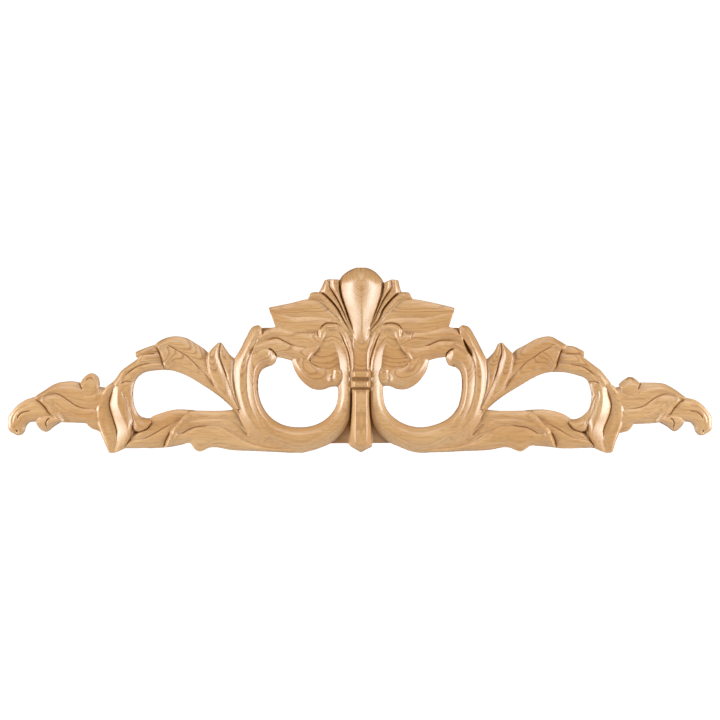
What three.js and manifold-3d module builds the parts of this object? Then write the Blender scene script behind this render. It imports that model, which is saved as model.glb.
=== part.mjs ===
// Shell onlay: a pierced wooden ornament, carved from one board, for the middle of a mantel or a head rail.
// Millimetres. +Z is up, +X is the viewer's right, the carved face looks towards -Y and the flat back is Y = 0.
// The origin is on the back, in the neck under the bulb.

import * as THREE from 'three';
import Module from 'manifold-3d';

// Overall sizes
const WIDTH = 610;
const DEPTH = 22;

// Heights of the relief above the back, as shares of the depth
const RECESS = 0.25 * DEPTH;
const EDGE = 0.36 * DEPTH;
const UNDER = 0.41 * DEPTH;
const VEIN = 0.44 * DEPTH;
const OVER = 0.5 * DEPTH;
const LIP = 0.56 * DEPTH;
const ROLL = 0.62 * DEPTH;
const FILLET = 0.77 * DEPTH;

// Crowns: how far a surface swells between two rails
const SOFT = 0.07 * DEPTH;
const LEAFY = 0.1 * DEPTH;
const ROUND = 0.2 * DEPTH;

// How finely the surfaces are cut
const STEP_ALONG = 9.8;
const FEWEST_ALONG = 5;
const STEP_ACROSS = 4.8;
const MOST_ACROSS = 3;

// The drawing below is in millimetres for a width of 610
const SCALE = WIDTH / 610;

// A strip is a surface over two or more rails, which run side by side in the same direction.
// A rail point is [x, z, height], and where the carver's right half strays from the left one's mirror image,
// [x, z, height, dx, dz] gives how far. A crown is a number, or a list of numbers along the strip.
const CENTRE = [
  {
    name: 'bulb',
    crowns: [2.6, 2.6],
    rails: [
      [[-2.5, 80.2, 10], [-9, 77.5, EDGE], [-15, 73, EDGE], [-17.6, 68, EDGE], [-17, 60, EDGE],
        [-14, 50, UNDER], [-10.3, 40, VEIN], [-7, 30, OVER], [-5, 14, LIP]],
      [[0.5, 80.4, 11], [1, 76, 17], [1.3, 70, 21], [1.3, 61, DEPTH], [1.5, 50, 20.8],
        [1.8, 38, 18], [1.8, 26, 16], [1.8, 14, 13.5]],
      [[3.5, 80.3, 10], [10, 78.2, EDGE], [15.5, 74, EDGE], [20.2, 66.5, EDGE], [18.7, 57, EDGE],
        [15.5, 47.5, UNDER], [12, 38, VEIN], [8.6, 28, OVER], [7, 14, LIP]],
    ],
  },
  {
    name: 'neck',
    crowns: [1.6],
    rails: [
      [[-5.5, 27, VEIN], [-6, 12, OVER], [-6.5, 0, OVER], [-7.2, -26, OVER]],
      [[8, 27, VEIN], [7.6, 12, OVER], [8, 0, OVER], [8.6, -26, OVER]],
    ],
  },
  {
    name: 'upper band',
    crowns: [0, 0.4, 0],
    rails: [
      [[-7.5, -9, ROLL], [-7.5, -15, ROLL]],
      [[-4.8, -9.3, FILLET], [-4.8, -14.7, FILLET]],
      [[6.2, -9.3, FILLET], [6.2, -14.7, FILLET]],
      [[8.8, -9, ROLL], [8.8, -15, ROLL]],
    ],
  },
  {
    name: 'lower band',
    crowns: [0, 0.4, 0],
    rails: [
      [[-7.6, -17.3, ROLL], [-7.6, -23.6, ROLL]],
      [[-5, -17.6, FILLET], [-5, -23.3, FILLET]],
      [[6.4, -17.6, FILLET], [6.4, -23.3, FILLET]],
      [[9, -17.3, ROLL], [9, -23.6, ROLL]],
    ],
  },
  {
    name: 'post',
    crowns: [0, 0.3, 0.3, 0],
    rails: [
      [[-7, -25, LIP], [-7.2, -40, LIP], [-8.2, -60, LIP], [-9.3, -73, VEIN]],
      [[-4.2, -25.2, FILLET], [-4.2, -50, FILLET], [-4.3, -72, FILLET], [-4.6, -75.8, LIP]],
      [[1, -25.2, FILLET], [1, -50, FILLET], [1, -74, FILLET], [0.8, -79, LIP]],
      [[6, -25.2, FILLET], [6, -50, FILLET], [6, -72, FILLET], [6.2, -76, LIP]],
      [[8.2, -25, LIP], [8.4, -40, LIP], [9.6, -60, LIP], [10.2, -74.2, VEIN]],
    ],
  },
  {
    name: 'ground behind the post',
    crowns: [0],
    rails: [
      [[-9, -20, RECESS], [-10, -45, RECESS], [-19, -62, RECESS], [-26, -71.4, RECESS]],
      [[10, -20, RECESS], [11, -45, RECESS], [20, -62, RECESS], [26, -71, RECESS]],
    ],
  },
  {
    name: 'ground behind the fan and the neck',
    crowns: [0],
    rails: [
      [[-29, 64, RECESS], [-36, 50, RECESS], [-25, 32, RECESS], [-14, 14, RECESS], [-12, -28, RECESS]],
      [[31, 64, RECESS], [38, 50, RECESS], [27, 32, RECESS], [16, 14, RECESS], [13, -28, RECESS]],
    ],
  },
];

// The left half. The right half is its mirror image, moved by the small differences.
const SIDE = [
  {
    name: 'ground under the wing',
    crowns: [0],
    rails: [
      [[-100.6, 12, RECESS], [-88, 26.6, RECESS], [-60, 26.6, RECESS], [-12, 28, RECESS]],
      [[-102.4, -6, RECESS], [-88, 3, RECESS], [-76, 4.6, RECESS], [-62, 3, RECESS], [-50, -3, RECESS],
        [-40, -8, RECESS], [-12, -8, RECESS]],
    ],
  },
  {
    name: 'ground at the foot of the rim',
    crowns: [0],
    rails: [
      [[-97, -56, RECESS], [-84, -63, RECESS], [-68, -68, RECESS]],
      [[-97, -70, RECESS], [-84, -74, RECESS], [-68, -76, RECESS]],
    ],
  },
  {
    name: 'ground beside the drop leaf',
    crowns: [0],
    rails: [
      [[-205, -54, RECESS], [-207, -66, RECESS], [-208, -76, RECESS]],
      [[-188, -56, RECESS], [-190, -66, RECESS], [-192, -74, RECESS]],
    ],
  },
  {
    name: 'inner flute',
    crowns: [LEAFY],
    rails: [
      [[-17, 69.6, OVER, -3, -2.4], [-16, 58, OVER, -2], [-13, 46, OVER, -2], [-9, 34, OVER, -1], [-5, 24, OVER]],
      [[-28, 69.9, OVER], [-26.7, 63.5, VEIN, -1], [-22.5, 57.3, VEIN, -1], [-18, 50, VEIN, -1],
        [-14.3, 42, VEIN, -1], [-10.5, 33, OVER, -1], [-7, 25, OVER]],
    ],
  },
  {
    name: 'middle flute',
    crowns: [LEAFY],
    rails: [
      [[-26.6, 69.8, OVER], [-26.2, 63.7, VEIN, -1], [-22, 57.4, VEIN, -1], [-17.6, 50.2, VEIN, -1],
        [-13.8, 42.2, VEIN, -1], [-10, 33.2, OVER, -1], [-6, 25.6, OVER]],
      [[-30.3, 69.2, UNDER, -2.5], [-32.3, 64, UNDER, -1.5], [-34.6, 59.2, UNDER, -0.6, -1], [-31, 57.4, VEIN, -1],
        [-25, 51.8, VEIN, -1], [-19, 44.5, VEIN, -1], [-14.5, 36.5, OVER, -2], [-9, 27, OVER]],
    ],
  },
  {
    name: 'outer flute',
    crowns: [LEAFY],
    rails: [
      [[-42.3, 58.2, UNDER, 0, 0.2], [-37, 58.9, UNDER], [-31, 57, VEIN, -1], [-25, 51.4, VEIN, -1],
        [-19, 44, VEIN, -1], [-14.5, 36, OVER, -2], [-9, 26, OVER]],
      [[-44.8, 52.6, UNDER, -0.6], [-39, 53.2, UNDER, -1], [-33, 50.4, VEIN, -1], [-27, 45.6, VEIN, -2],
        [-21, 39, VEIN, -3], [-16, 32.4, OVER, -3], [-11, 26, OVER]],
    ],
  },
  {
    name: 'upper wing leaf',
    crowns: [LEAFY, LEAFY],
    rails: [
      [[-9, 26, OVER], [-17, 35, VEIN], [-25, 44.5, EDGE], [-35, 52.8, EDGE], [-46, 52.6, EDGE, -0.8],
        [-60, 49.2, EDGE, -1.5, 0.8], [-78.7, 45.4, EDGE, -2.8, -0.2]],
      [[-11, 25, OVER], [-22, 34.5, OVER], [-33, 37, VEIN], [-45, 38.4, UNDER, 0, -1], [-56, 37.6, UNDER],
        [-66, 40, UNDER], [-77.4, 41.6, EDGE, -3.3]],
      [[-12, 24, OVER], [-20, 30, OVER], [-30, 28.5, OVER], [-38, 25.2, OVER], [-50, 24.8, OVER],
        [-62, 25, VEIN], [-72.4, 28.6, EDGE, -4]],
    ],
  },
  {
    name: 'lower wing leaf',
    crowns: [LEAFY, LEAFY],
    rails: [
      [[-30, 24, EDGE], [-42, 26, UNDER], [-60, 26.5, UNDER], [-73, 28.4, UNDER, -4], [-85, 25.6, UNDER, -1, 0.7]],
      [[-34.5, 13.4, LIP], [-46, 11, VEIN], [-55, 12, UNDER, -2], [-65, 16.6, UNDER, -1], [-74, 19.2, UNDER, 0, -1.6],
        [-82, 17.6, UNDER], [-91, 13, VEIN]],
      [[-44.3, 0.2, LIP], [-51, -1, VEIN], [-60, 0.8, EDGE], [-67, 2.6, EDGE], [-73, 4, EDGE, -1.6],
        [-80, 9, VEIN, -2], [-93, 6, OVER]],
    ],
  },
  {
    name: 'ridge beside the neck',
    crowns: [1.8],
    rails: [
      [[-13, 28, OVER], [-9.5, 21, OVER], [-7, 12, LIP], [-6, 2, LIP], [-6.5, -24, OVER]],
      [[-18.5, 24.5, OVER, -1], [-13.8, 18, OVER, -1], [-10.8, 10, LIP, -1], [-8.6, 1, LIP, -1], [-8.4, -24, OVER, -1]],
    ],
  },
  {
    name: 'plate of the scroll',
    crowns: [0.6, 0.8],
    rails: [
      [[-9.1, -14, LIP, -1], [-9.5, -2, LIP, -1.2], [-11.5, 7, LIP, -1.6], [-15.4, 16, LIP, -1.4],
        [-18, 24, LIP], [-16.6, 30.2, OVER, -2]],
      [[-14, -13, ROLL, -1], [-15, -1, ROLL, -1], [-20, 10, ROLL], [-24, 19, ROLL], [-25, 26, ROLL],
        [-24, 32.2, OVER]],
      [[-21, -12.5, UNDER], [-29, -7.4, OVER], [-36, -5.6, OVER], [-42.6, -0.4, OVER, -1], [-41, 7, VEIN],
        [-38, 14, VEIN], [-36, 21, OVER], [-35.7, 25.2, LIP, -1, 2], [-30.5, 31.2, OVER]],
    ],
  },
  {
    name: 'nub of the scroll',
    crowns: [ROUND],
    rails: [
      [[-35.8, 20.6, OVER, 0, 1.6], [-37, 24.2, OVER, 0, 1.6], [-34.2, 27.4, OVER, -1, 1.4], [-31, 28.6, OVER]],
      [[-32, 19.4, ROLL], [-29.5, 21, ROLL], [-27.6, 24, ROLL], [-27.2, 27, ROLL]],
    ],
  },
  {
    name: 'lobe',
    crowns: [1.2, 0.8],
    rails: [
      [[-58.6, 0.4, EDGE, -0.6], [-57.2, -5, EDGE, -1], [-53.4, -13, EDGE, -1], [-47, -20.2, EDGE, -1],
        [-40, -24.3, EDGE], [-32, -24.7, EDGE, 0, 0.5], [-25, -22.3, EDGE, 0, 0.8], [-18, -22, EDGE]],
      [[-53, 2, VEIN], [-49, -6, LIP], [-43, -12, ROLL], [-36, -15, ROLL, 2], [-29, -15.5, LIP],
        [-24.5, -15, VEIN], [-18, -15, VEIN]],
      [[-45, 2, OVER], [-42, -2.5, OVER], [-37, -5.2, OVER], [-31, -6.6, OVER], [-26, -7, VEIN], [-22, -6.5, VEIN],
        [-18, -6, VEIN]],
    ],
  },
  {
    name: 'eye of the lobe',
    crowns: [ROUND],
    rails: [
      [[-21, -7.6, OVER, -2], [-23.6, -11, VEIN, -2], [-24, -15, VEIN, -2], [-21.5, -19.4, UNDER, -2]],
      [[-18.4, -8.6, ROLL, -1], [-16.8, -11, ROLL, -1], [-16.8, -15.5, ROLL, -1], [-18, -19.6, OVER, -1]],
    ],
  },
  {
    name: 'C scroll',
    crowns: [[1.6, 2.6, 2.2, 1.4, 1.4, 2, 1.6], [1.4, 1.4, 1.4, 1.6, 1.6, 1.4, 1]],
    rails: [
      [[-78, -4.2, EDGE, -0.6], [-83, -6, EDGE, -1.4],
        [-87, -10.5, EDGE, -0.6], [-88.8, -20, EDGE], [-87.6, -32, EDGE], [-83, -43, EDGE, -1], [-76, -51, EDGE],
        [-66, -56.4, EDGE, 0, 0.6], [-52, -58.4, EDGE], [-38, -56, EDGE, 0, 0.8], [-28, -50, EDGE, 0, 1.2],
        [-21.3, -41.5, EDGE, -1], [-18.6, -32, EDGE, -1.2], [-18.8, -18, EDGE, -1], [-20, -8, EDGE, -1]],
      [[-78.6, 3.6, LIP, -1], [-86.6, 2.4, ROLL], [-92.5, -5, ROLL, -0.6], [-94.3, -15, ROLL, -1],
        [-94, -28, ROLL, -1], [-90, -43, ROLL, -1], [-83, -54, ROLL], [-73, -62, ROLL], [-58, -66, ROLL],
        [-42, -65, ROLL], [-30, -60, ROLL], [-20, -50, ROLL], [-14.5, -38, ROLL, -0.6], [-13.5, -18, ROLL, -1],
        [-13.8, -8, ROLL, -1]],
      [[-79.4, 10.2, OVER, -2], [-88, 12, OVER], [-95, 6, OVER], [-99.4, -4, OVER, -2],
        [-100, -20, OVER, -1.4], [-98.4, -34, OVER, -1], [-94, -47, OVER], [-87, -59, LIP], [-78, -68, LIP],
        [-66, -76.4, VEIN], [-57, -80.1, EDGE, 0, 0.6], [-46, -78.6, EDGE], [-34, -75, EDGE, 0, 0.8],
        [-22.5, -69.5, EDGE, 0, 0.8], [-14, -61, UNDER, -1], [-10, -52, VEIN, -1], [-9, -40, OVER, -1],
        [-9.1, -18, OVER, -1], [-9.3, -8, OVER, -1]],
    ],
  },
  {
    name: 'nub of the C scroll',
    crowns: [ROUND / 2],
    rails: [
      [[-80.4, 10, OVER, -2], [-83.6, 5, ROLL, -1], [-83, 0, ROLL, -1], [-80, -4.9, EDGE, -0.6]],
      [[-76.4, 9, VEIN, -2], [-72.9, 4, UNDER, -2], [-73.6, -0.9, EDGE, -2], [-77, -4.1, EDGE, -0.6]],
    ],
  },
  {
    name: 'rim of the C scroll',
    crowns: [[1, 3, 4.2, 4.4, 4, 2, 0.6]],
    rails: [
      [[-88, 30.3, EDGE, -1], [-93, 28.5, EDGE, -1], [-98, 20, EDGE, -1.4], [-103, 10, EDGE, -1.4],
        [-109, -0.5, EDGE, -0.6], [-111.2, -12, EDGE, -0.8], [-110.5, -25, EDGE, -0.8], [-107.5, -38, EDGE, -1.2],
        [-103, -52, EDGE, -0.8], [-96, -63, EDGE], [-84, -71, UNDER]],
      [[-85.2, 28, VEIN, -0.6], [-85.2, 22.5, VEIN, -1], [-90.5, 15, VEIN, -2], [-96.4, 4, VEIN, -2],
        [-99.6, -8, VEIN, -1.6], [-99.4, -22, VEIN, -1.6], [-97.6, -34, VEIN, -1], [-93, -46, OVER, -1],
        [-86, -56, LIP], [-76, -64, LIP]],
    ],
  },
  {
    name: 'bottom leaf',
    crowns: [SOFT, SOFT, LEAFY],
    rails: [
      [[-145.6, -45.2, OVER, -0.6], [-136, -44, UNDER], [-120, -44, UNDER], [-106, -44, UNDER], [-101, -54, UNDER],
        [-93, -63, UNDER], [-80, -68, UNDER], [-62, -70.5, UNDER]],
      [[-157.4, -54, LIP, -0.6], [-147, -52, OVER], [-132, -50.5, OVER], [-116, -51, OVER], [-106, -56, OVER],
        [-97, -64.5, VEIN], [-82, -71, VEIN], [-61, -73.5, UNDER]],
      [[-162.8, -62.5, LIP, -1], [-153.5, -62.8, VEIN], [-144, -58.4, VEIN], [-132, -56.2, VEIN], [-119, -58, VEIN],
        [-109, -63, VEIN], [-98, -70, VEIN], [-82, -75, UNDER], [-57, -77, UNDER]],
      [[-168.2, -74.6, VEIN, -0.5], [-157, -73, EDGE, 0, -0.6], [-147.2, -70.9, EDGE, 0, -2.5],
        [-144, -74.6, EDGE, -0.5, -1], [-139, -78, EDGE], [-133.5, -75.9, EDGE, 1], [-127, -74.5, EDGE],
        [-112, -77, EDGE], [-90, -78, EDGE], [-70, -78.9, EDGE], [-56, -79.7, EDGE, 0, 0.6]],
    ],
  },
  {
    name: 'under leaf',
    crowns: [SOFT, SOFT],
    rails: [
      [[-197, -64, RECESS], [-190.6, -60.6, UNDER], [-184.4, -57, UNDER], [-181, -50, UNDER, -1, -1],
        [-172, -46, EDGE, -2], [-160, -43, EDGE], [-144, -43.4, EDGE]],
      [[-199, -69.5, UNDER], [-188, -67.6, VEIN, -1], [-178, -63.2, VEIN, -2], [-166, -56.4, VEIN], [-156, -51, UNDER],
        [-144, -48, UNDER]],
      [[-204, -75.6, EDGE, 1, 0.6], [-190, -75.4, EDGE], [-175, -75.3, EDGE, 0, -0.4], [-164, -74.3, EDGE],
        [-152, -72, EDGE, 0, -1.4]],
    ],
  },
  {
    name: 'small upright leaf',
    crowns: [LEAFY, LEAFY],
    rails: [
      [[-122.4, 15.2, VEIN, -0.6], [-128, 9.6, OVER], [-131.8, 4, LIP, -0.8], [-131.6, -4, LIP], [-128.5, -16, LIP],
        [-123.5, -26, LIP], [-117, -33, LIP], [-107, -42.6, OVER]],
      [[-120.9, 15.2, EDGE, -1.6], [-122, 6, VEIN, -1], [-120.5, 0, VEIN, -1], [-117, -10, VEIN, -1.6],
        [-113.5, -20, VEIN, -1.6], [-109.5, -32, VEIN], [-105, -42, VEIN]],
      [[-119.5, 14, EDGE, -0.4], [-116, 8.5, EDGE, -0.6, -1.2], [-112, 3.6, EDGE, -1.4], [-108, 0, EDGE, 0, -2],
        [-108.5, -10, EDGE], [-108.5, -22, EDGE], [-106.5, -32, EDGE], [-103, -41, EDGE]],
    ],
  },
  {
    name: 'long leaf',
    crowns: [LEAFY, LEAFY],
    rails: [
      [[-176.4, 14.3, VEIN, -2.2, -1.4], [-171, 17.8, EDGE, -1.4, -1.2], [-163, 20.3, EDGE, -2], [-152, 19.5, EDGE, -2, -0.8],
        [-142, 14, EDGE, -2, -0.6], [-133, 7.5, EDGE, -1], [-129, -2, EDGE], [-125, -16, EDGE], [-116, -30, EDGE],
        [-104, -42, EDGE]],
      [[-173.4, 8.6, LIP], [-165, 12.4, VEIN, 0, -0.8], [-157, 8, VEIN], [-149, 3.2, VEIN, -1, -1.6], [-140, -5.5, VEIN],
        [-132, -14, VEIN], [-121, -28, UNDER], [-105, -43, EDGE]],
      [[-166.3, -7.2, OVER, 0, -2], [-157, -9.8, EDGE, 0, -1.6], [-148, -13.6, EDGE, 0, -2], [-138, -19.6, EDGE, 0, -2],
        [-128, -26, EDGE, 0, -1.6], [-117, -34.4, EDGE, 0, -1], [-104.2, -47.2, EDGE]],
    ],
  },
  {
    name: 'tab behind the long leaf',
    crowns: [SOFT],
    rails: [
      [[-168, 17, EDGE], [-176, 13.8, EDGE, 0, -0.8], [-185, 10.7, EDGE, 0, 1], [-194, 7, EDGE, 0.4, 0.6]],
      [[-166, 5, UNDER], [-176, 4.4, UNDER], [-185, 3.6, UNDER], [-193.4, 3, EDGE]],
    ],
  },
  {
    name: 'arch leaf',
    crowns: [LEAFY, SOFT],
    rails: [
      [[-166, 8, UNDER], [-178, 6, UNDER], [-188, 4.6, UNDER], [-193.6, 0, EDGE, -1, 1.4], [-200, -4.4, EDGE, 0, 1.6],
        [-206.5, -9.5, EDGE, -1, 1], [-210.6, -15.5, EDGE, -2, 1], [-215, -20, EDGE, -2]],
      [[-166, -1, UNDER], [-180, -2.6, VEIN, 0, -0.6], [-191, -4.7, VEIN, 0, -0.6], [-200, -10, VEIN],
        [-205, -15, VEIN], [-208, -24, VEIN]],
      [[-164, -7.8, EDGE, 0, -1.8], [-176, -8, EDGE, 0, -1.6], [-187, -10, EDGE, -1, -2.2], [-193.6, -15, EDGE, -2.6, -0.6],
        [-196.6, -23, EDGE, -3.6], [-197.2, -31.5, EDGE, -4]],
    ],
  },
  {
    name: 'drop leaf, outer half',
    crowns: [0.6, -0.8],
    rails: [
      [[-216, -20.4, VEIN, -2, -1], [-221, -25, VEIN, -1], [-225.5, -33, OVER, -1], [-228, -43, OVER],
        [-227.6, -52, OVER], [-224.5, -61.5, OVER], [-221, -70, OVER], [-217, -79.4, VEIN, -1.4, 0.8]],
      [[-214.5, -21, OVER, -1], [-218.5, -27, LIP], [-222, -35, LIP], [-223.6, -43, LIP], [-223, -52, LIP],
        [-220, -62, LIP], [-217, -70, LIP], [-215.6, -79.9, VEIN]],
      [[-210, -20, EDGE], [-213.6, -27, EDGE], [-215.6, -35, EDGE, -1], [-215.2, -43, EDGE, -1.4],
        [-212, -53, EDGE, -1], [-209, -61, EDGE, -1], [-209, -70, UNDER], [-213, -79.8, EDGE]],
    ],
  },
  {
    name: 'drop leaf, inner half',
    crowns: [1.4, -0.6, LEAFY],
    rails: [
      [[-213.4, -22, EDGE], [-216, -31, EDGE], [-217, -39, EDGE, -0.4], [-214.6, -48, EDGE, -1], [-211.4, -58, EDGE, -1],
        [-210.6, -66, EDGE, -1], [-212, -74, UNDER], [-214.5, -79.8, EDGE]],
      [[-209, -20, LIP], [-210.6, -30, ROLL], [-210.4, -38, ROLL], [-207.6, -46, ROLL, -1], [-203, -54.4, ROLL, -1],
        [-200.2, -61, ROLL, -1], [-201.6, -68, ROLL], [-209, -78.2, VEIN]],
      [[-203, -20, VEIN], [-204.4, -29, EDGE, -2], [-203, -37, EDGE, -2], [-200.6, -45, EDGE, -2], [-197.6, -53, EDGE, -1],
        [-197, -60, EDGE], [-199.5, -68.5, EDGE], [-204.4, -76, EDGE]],
      [[-196.4, -20, EDGE, -2.5], [-197.3, -30, EDGE, -4], [-196, -39, EDGE, -4], [-193.6, -45.5, EDGE, -3, -1],
        [-193, -53, EDGE], [-195, -60, EDGE], [-198.4, -67, EDGE], [-203.4, -75.4, EDGE]],
    ],
  },
  {
    name: 'inner curl of the loop',
    crowns: [[1.4, 2.4, 3, 2.6]],
    rails: [
      [[-197.3, -30, EDGE, -4], [-196, -39, EDGE, -4], [-193, -46, EDGE, -3], [-188, -50, EDGE, 0, -1],
        [-181, -50.6, EDGE, -0.5, -0.8]],
      [[-202, -33, UNDER, -2], [-200.4, -42, UNDER, -2], [-197.6, -52, VEIN, -1], [-194.6, -60.6, VEIN],
        [-186.6, -60, VEIN], [-180.6, -54, UNDER]],
    ],
  },
  {
    name: 'end leaf',
    crowns: [LEAFY, 1, SOFT],
    rails: [
      [[-281.2, -31.8, OVER, -0.4, -0.8], [-273, -26.3, UNDER, -0.5], [-262, -20, EDGE, -1, -0.6], [-250, -18.5, EDGE, 0, -1.2],
        [-243, -19.5, EDGE], [-232, -22, EDGE], [-221, -24, EDGE]],
      [[-277.6, -33.6, LIP], [-269, -29.4, VEIN], [-260, -29.8, VEIN, 1, -0.8], [-251, -35.6, VEIN, 1], [-243, -40, VEIN, 0, -0.5],
        [-232, -42, VEIN], [-222, -43, EDGE]],
      [[-270.6, -40.6, LIP], [-262, -38, OVER], [-252, -43.6, OVER], [-243, -46.6, OVER], [-232, -47, OVER],
        [-222, -48, EDGE]],
      [[-259.6, -52.8, OVER, -0.6], [-254, -53.2, EDGE, 0, -0.6], [-246, -53.4, EDGE, 0, -0.8],
        [-238, -53.8, EDGE, 0, -0.8], [-230, -56, EDGE], [-222, -58, EDGE]],
    ],
  },
  {
    name: 'tip of the end leaf',
    crowns: [LEAFY, LEAFY],
    rails: [
      [[-268, -29, EDGE], [-281, -31.8, EDGE, -0.6, -0.6], [-291, -35.4, EDGE, -0.6], [-299.6, -42.6, EDGE],
        [-305.4, -53, EDGE], [-303.4, -60, EDGE], [-297, -64.2, EDGE]],
      [[-264, -40, UNDER], [-277, -42, VEIN], [-289, -44, VEIN, 0, -0.6], [-295.4, -48, VEIN], [-297.4, -55, OVER],
        [-295.5, -64.4, EDGE]],
      [[-258, -50, EDGE], [-270, -50.6, UNDER], [-281, -52.4, EDGE, -1], [-286.6, -53.2, EDGE], [-289.8, -57, EDGE],
        [-291.2, -61.5, EDGE], [-294, -64.3, EDGE]],
    ],
  },
  {
    name: 'lower curl of the end leaf',
    crowns: [LEAFY],
    rails: [
      [[-280, -52, EDGE], [-275, -47.6, VEIN], [-268, -47, VEIN], [-259, -50, UNDER]],
      [[-279.6, -54.4, EDGE], [-277, -58.6, EDGE, 0.4, 0.4], [-271.6, -61.3, EDGE, -0.5, 0.4], [-265.6, -57, EDGE, -1],
        [-259, -52.8, EDGE]],
    ],
  },
  {
    name: 'upper curl of the end leaf',
    crowns: [LEAFY],
    rails: [
      [[-242, -20.4, VEIN], [-238.4, -14.8, EDGE, 0, -1.6], [-232.4, -11.4, EDGE, -1, -3.2], [-227.4, -14.4, EDGE, -1, -3],
        [-225.8, -21, EDGE, 1]],
      [[-240.4, -24.4, OVER], [-236, -27.6, OVER], [-231, -28.6, OVER], [-227, -27, VEIN]],
    ],
  },
  {
    name: 'third curl of the end leaf',
    crowns: [1],
    rails: [
      [[-236.4, -52.6, EDGE], [-232, -48, UNDER], [-226, -48, UNDER], [-222, -54, UNDER]],
      [[-235.4, -55.6, EDGE, 0, -1], [-231.6, -58.7, EDGE, -0.6, -1.6], [-227.6, -60, EDGE, -0.6, -1.6],
        [-222, -62.8, EDGE]],
    ],
  },
];

// The value at share t of a list of numbers that are evenly spaced along a strip
function along(list, t) {
  if (!Array.isArray(list)) return list;
  const place = t * (list.length - 1);
  const index = Math.min(Math.floor(place), list.length - 2);
  return THREE.MathUtils.lerp(list[index], list[index + 1], place - index);
}

// A rail as a smooth curve whose points hold x, height and z; side is 1 for the right half and -1 for the left
function railCurve(points, side) {
  const places = points.map(([x, z, height, dx = 0, dz = 0]) => {
    if (side < 0) return new THREE.Vector3(x, height, z);
    return new THREE.Vector3(-(x + dx), height, z + dz);
  });
  return new THREE.CatmullRomCurve3(places, false, 'centripetal');
}

// Rows of surface points across a strip: along each row the height swells by the crown between two rails
function stripRows({ rails, crowns }, side) {
  const curves = rails.map((points) => railCurve(points, side));
  const longest = Math.max(...curves.map((curve) => curve.getLength()));
  const straight = crowns.every((crown) => crown === 0);
  const steps = Math.max(straight ? 3 : FEWEST_ALONG, Math.round(longest / STEP_ALONG));
  const spaced = curves.map((curve) => curve.getSpacedPoints(steps));
  const cuts = crowns.map((crown, k) => {
    const widest = Math.max(...spaced[k].map((point, i) => point.distanceTo(spaced[k + 1][i])));
    const fine = THREE.MathUtils.clamp(Math.round(widest / STEP_ACROSS), 2, MOST_ACROSS);
    return crown === 0 ? 1 : fine;
  });
  const rows = [];
  for (let i = 0; i <= steps; i += 1) {
    const row = [spaced[0][i]];
    for (let k = 0; k < crowns.length; k += 1) {
      for (let j = 1; j <= cuts[k]; j += 1) {
        const share = j / cuts[k];
        const point = spaced[k][i].clone().lerp(spaced[k + 1][i], share);
        point.y += along(crowns[k], i / steps) * Math.sin(Math.PI * share);
        row.push(point);
      }
    }
    rows.push(row);
  }
  return rows;
}

// A closed solid under rows of surface points: the surface, walls down to the back, and a ladder of flat
// triangles there, whose first and last rungs fan out to all the points of the end rows
function solidUnder(rows, name) {
  const across = rows[0].length;
  const last = rows.length - 1;
  const surface = rows.flat().map((point) => [point.x, -point.y, point.z]);
  const back = surface.map(([x, , z]) => [x, 0, z]);
  const at = (i, j) => i * across + j;
  const cells = [];
  for (let i = 0; i < last; i += 1) {
    for (let j = 0; j + 1 < across; j += 1) {
      cells.push([at(i, j), at(i + 1, j), at(i + 1, j + 1)]);
      cells.push([at(i, j), at(i + 1, j + 1), at(i, j + 1)]);
    }
  }
  const ladder = [];
  const far = across - 1;
  const middle = Math.floor(far / 2);
  for (let i = 1; i + 1 < last; i += 1) {
    ladder.push([at(i, 0), at(i + 1, 0), at(i + 1, far)]);
    ladder.push([at(i, 0), at(i + 1, far), at(i, far)]);
  }
  ladder.push([at(0, middle), at(1, 0), at(1, far)]);
  ladder.push([at(last, middle), at(last - 1, far), at(last - 1, 0)]);
  for (let j = 0; j < far; j += 1) {
    ladder.push([at(0, j), at(1, j < middle ? 0 : far), at(0, j + 1)]);
    ladder.push([at(last, j + 1), at(last - 1, j < middle ? 0 : far), at(last, j)]);
  }
  const flat = (index) => new THREE.Vector2(surface[index][0], surface[index][2]);
  const areas = [...cells, ...ladder].map((corners) => THREE.ShapeUtils.area(corners.map(flat)));
  const turn = Math.sign(areas[0]);
  if (areas.some((area) => area * turn <= 0)) throw new Error(`${name} folds over`);
  const border = [];
  for (let i = 0; i < last; i += 1) border.push(at(i, 0));
  for (let j = 0; j < across - 1; j += 1) border.push(at(last, j));
  for (let i = last; i > 0; i -= 1) border.push(at(i, across - 1));
  for (let j = across - 1; j > 0; j -= 1) border.push(at(0, j));
  const below = surface.length;
  const triangles = [...cells];
  for (const [a, b, c] of ladder) triangles.push([below + c, below + b, below + a]);
  border.forEach((here, n) => {
    const next = border[(n + 1) % border.length];
    triangles.push([next, here, below + here]);
    triangles.push([next, below + here, below + next]);
  });
  if (turn < 0) triangles.forEach((corners) => corners.reverse());
  return { vertices: [...surface, ...back], triangles };
}

const wasm = await Module();
wasm.setup();

function asManifold({ vertices, triangles }) {
  const mesh = new wasm.Mesh({
    numProp: 3,
    vertProperties: new Float32Array(vertices.flat().map((value) => value * SCALE)),
    triVerts: new Uint32Array(triangles.flat()),
  });
  return new wasm.Manifold(mesh);
}

function carve() {
  const strips = CENTRE.map((strip) => [strip, -1]);
  for (const strip of SIDE) strips.push([strip, -1], [strip, 1]);
  let body = null;
  for (const [strip, side] of strips) {
    const solid = asManifold(solidUnder(stripRows(strip, side), strip.name));
    body = body ? body.add(solid) : solid;
  }
  return body;
}

function toGeometry(body) {
  const mesh = body.getMesh();
  const geometry = new THREE.BufferGeometry();
  geometry.setAttribute('position', new THREE.BufferAttribute(mesh.vertProperties, mesh.numProp));
  geometry.setIndex(new THREE.BufferAttribute(mesh.triVerts, 1));
  geometry.computeVertexNormals();
  return geometry;
}

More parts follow.
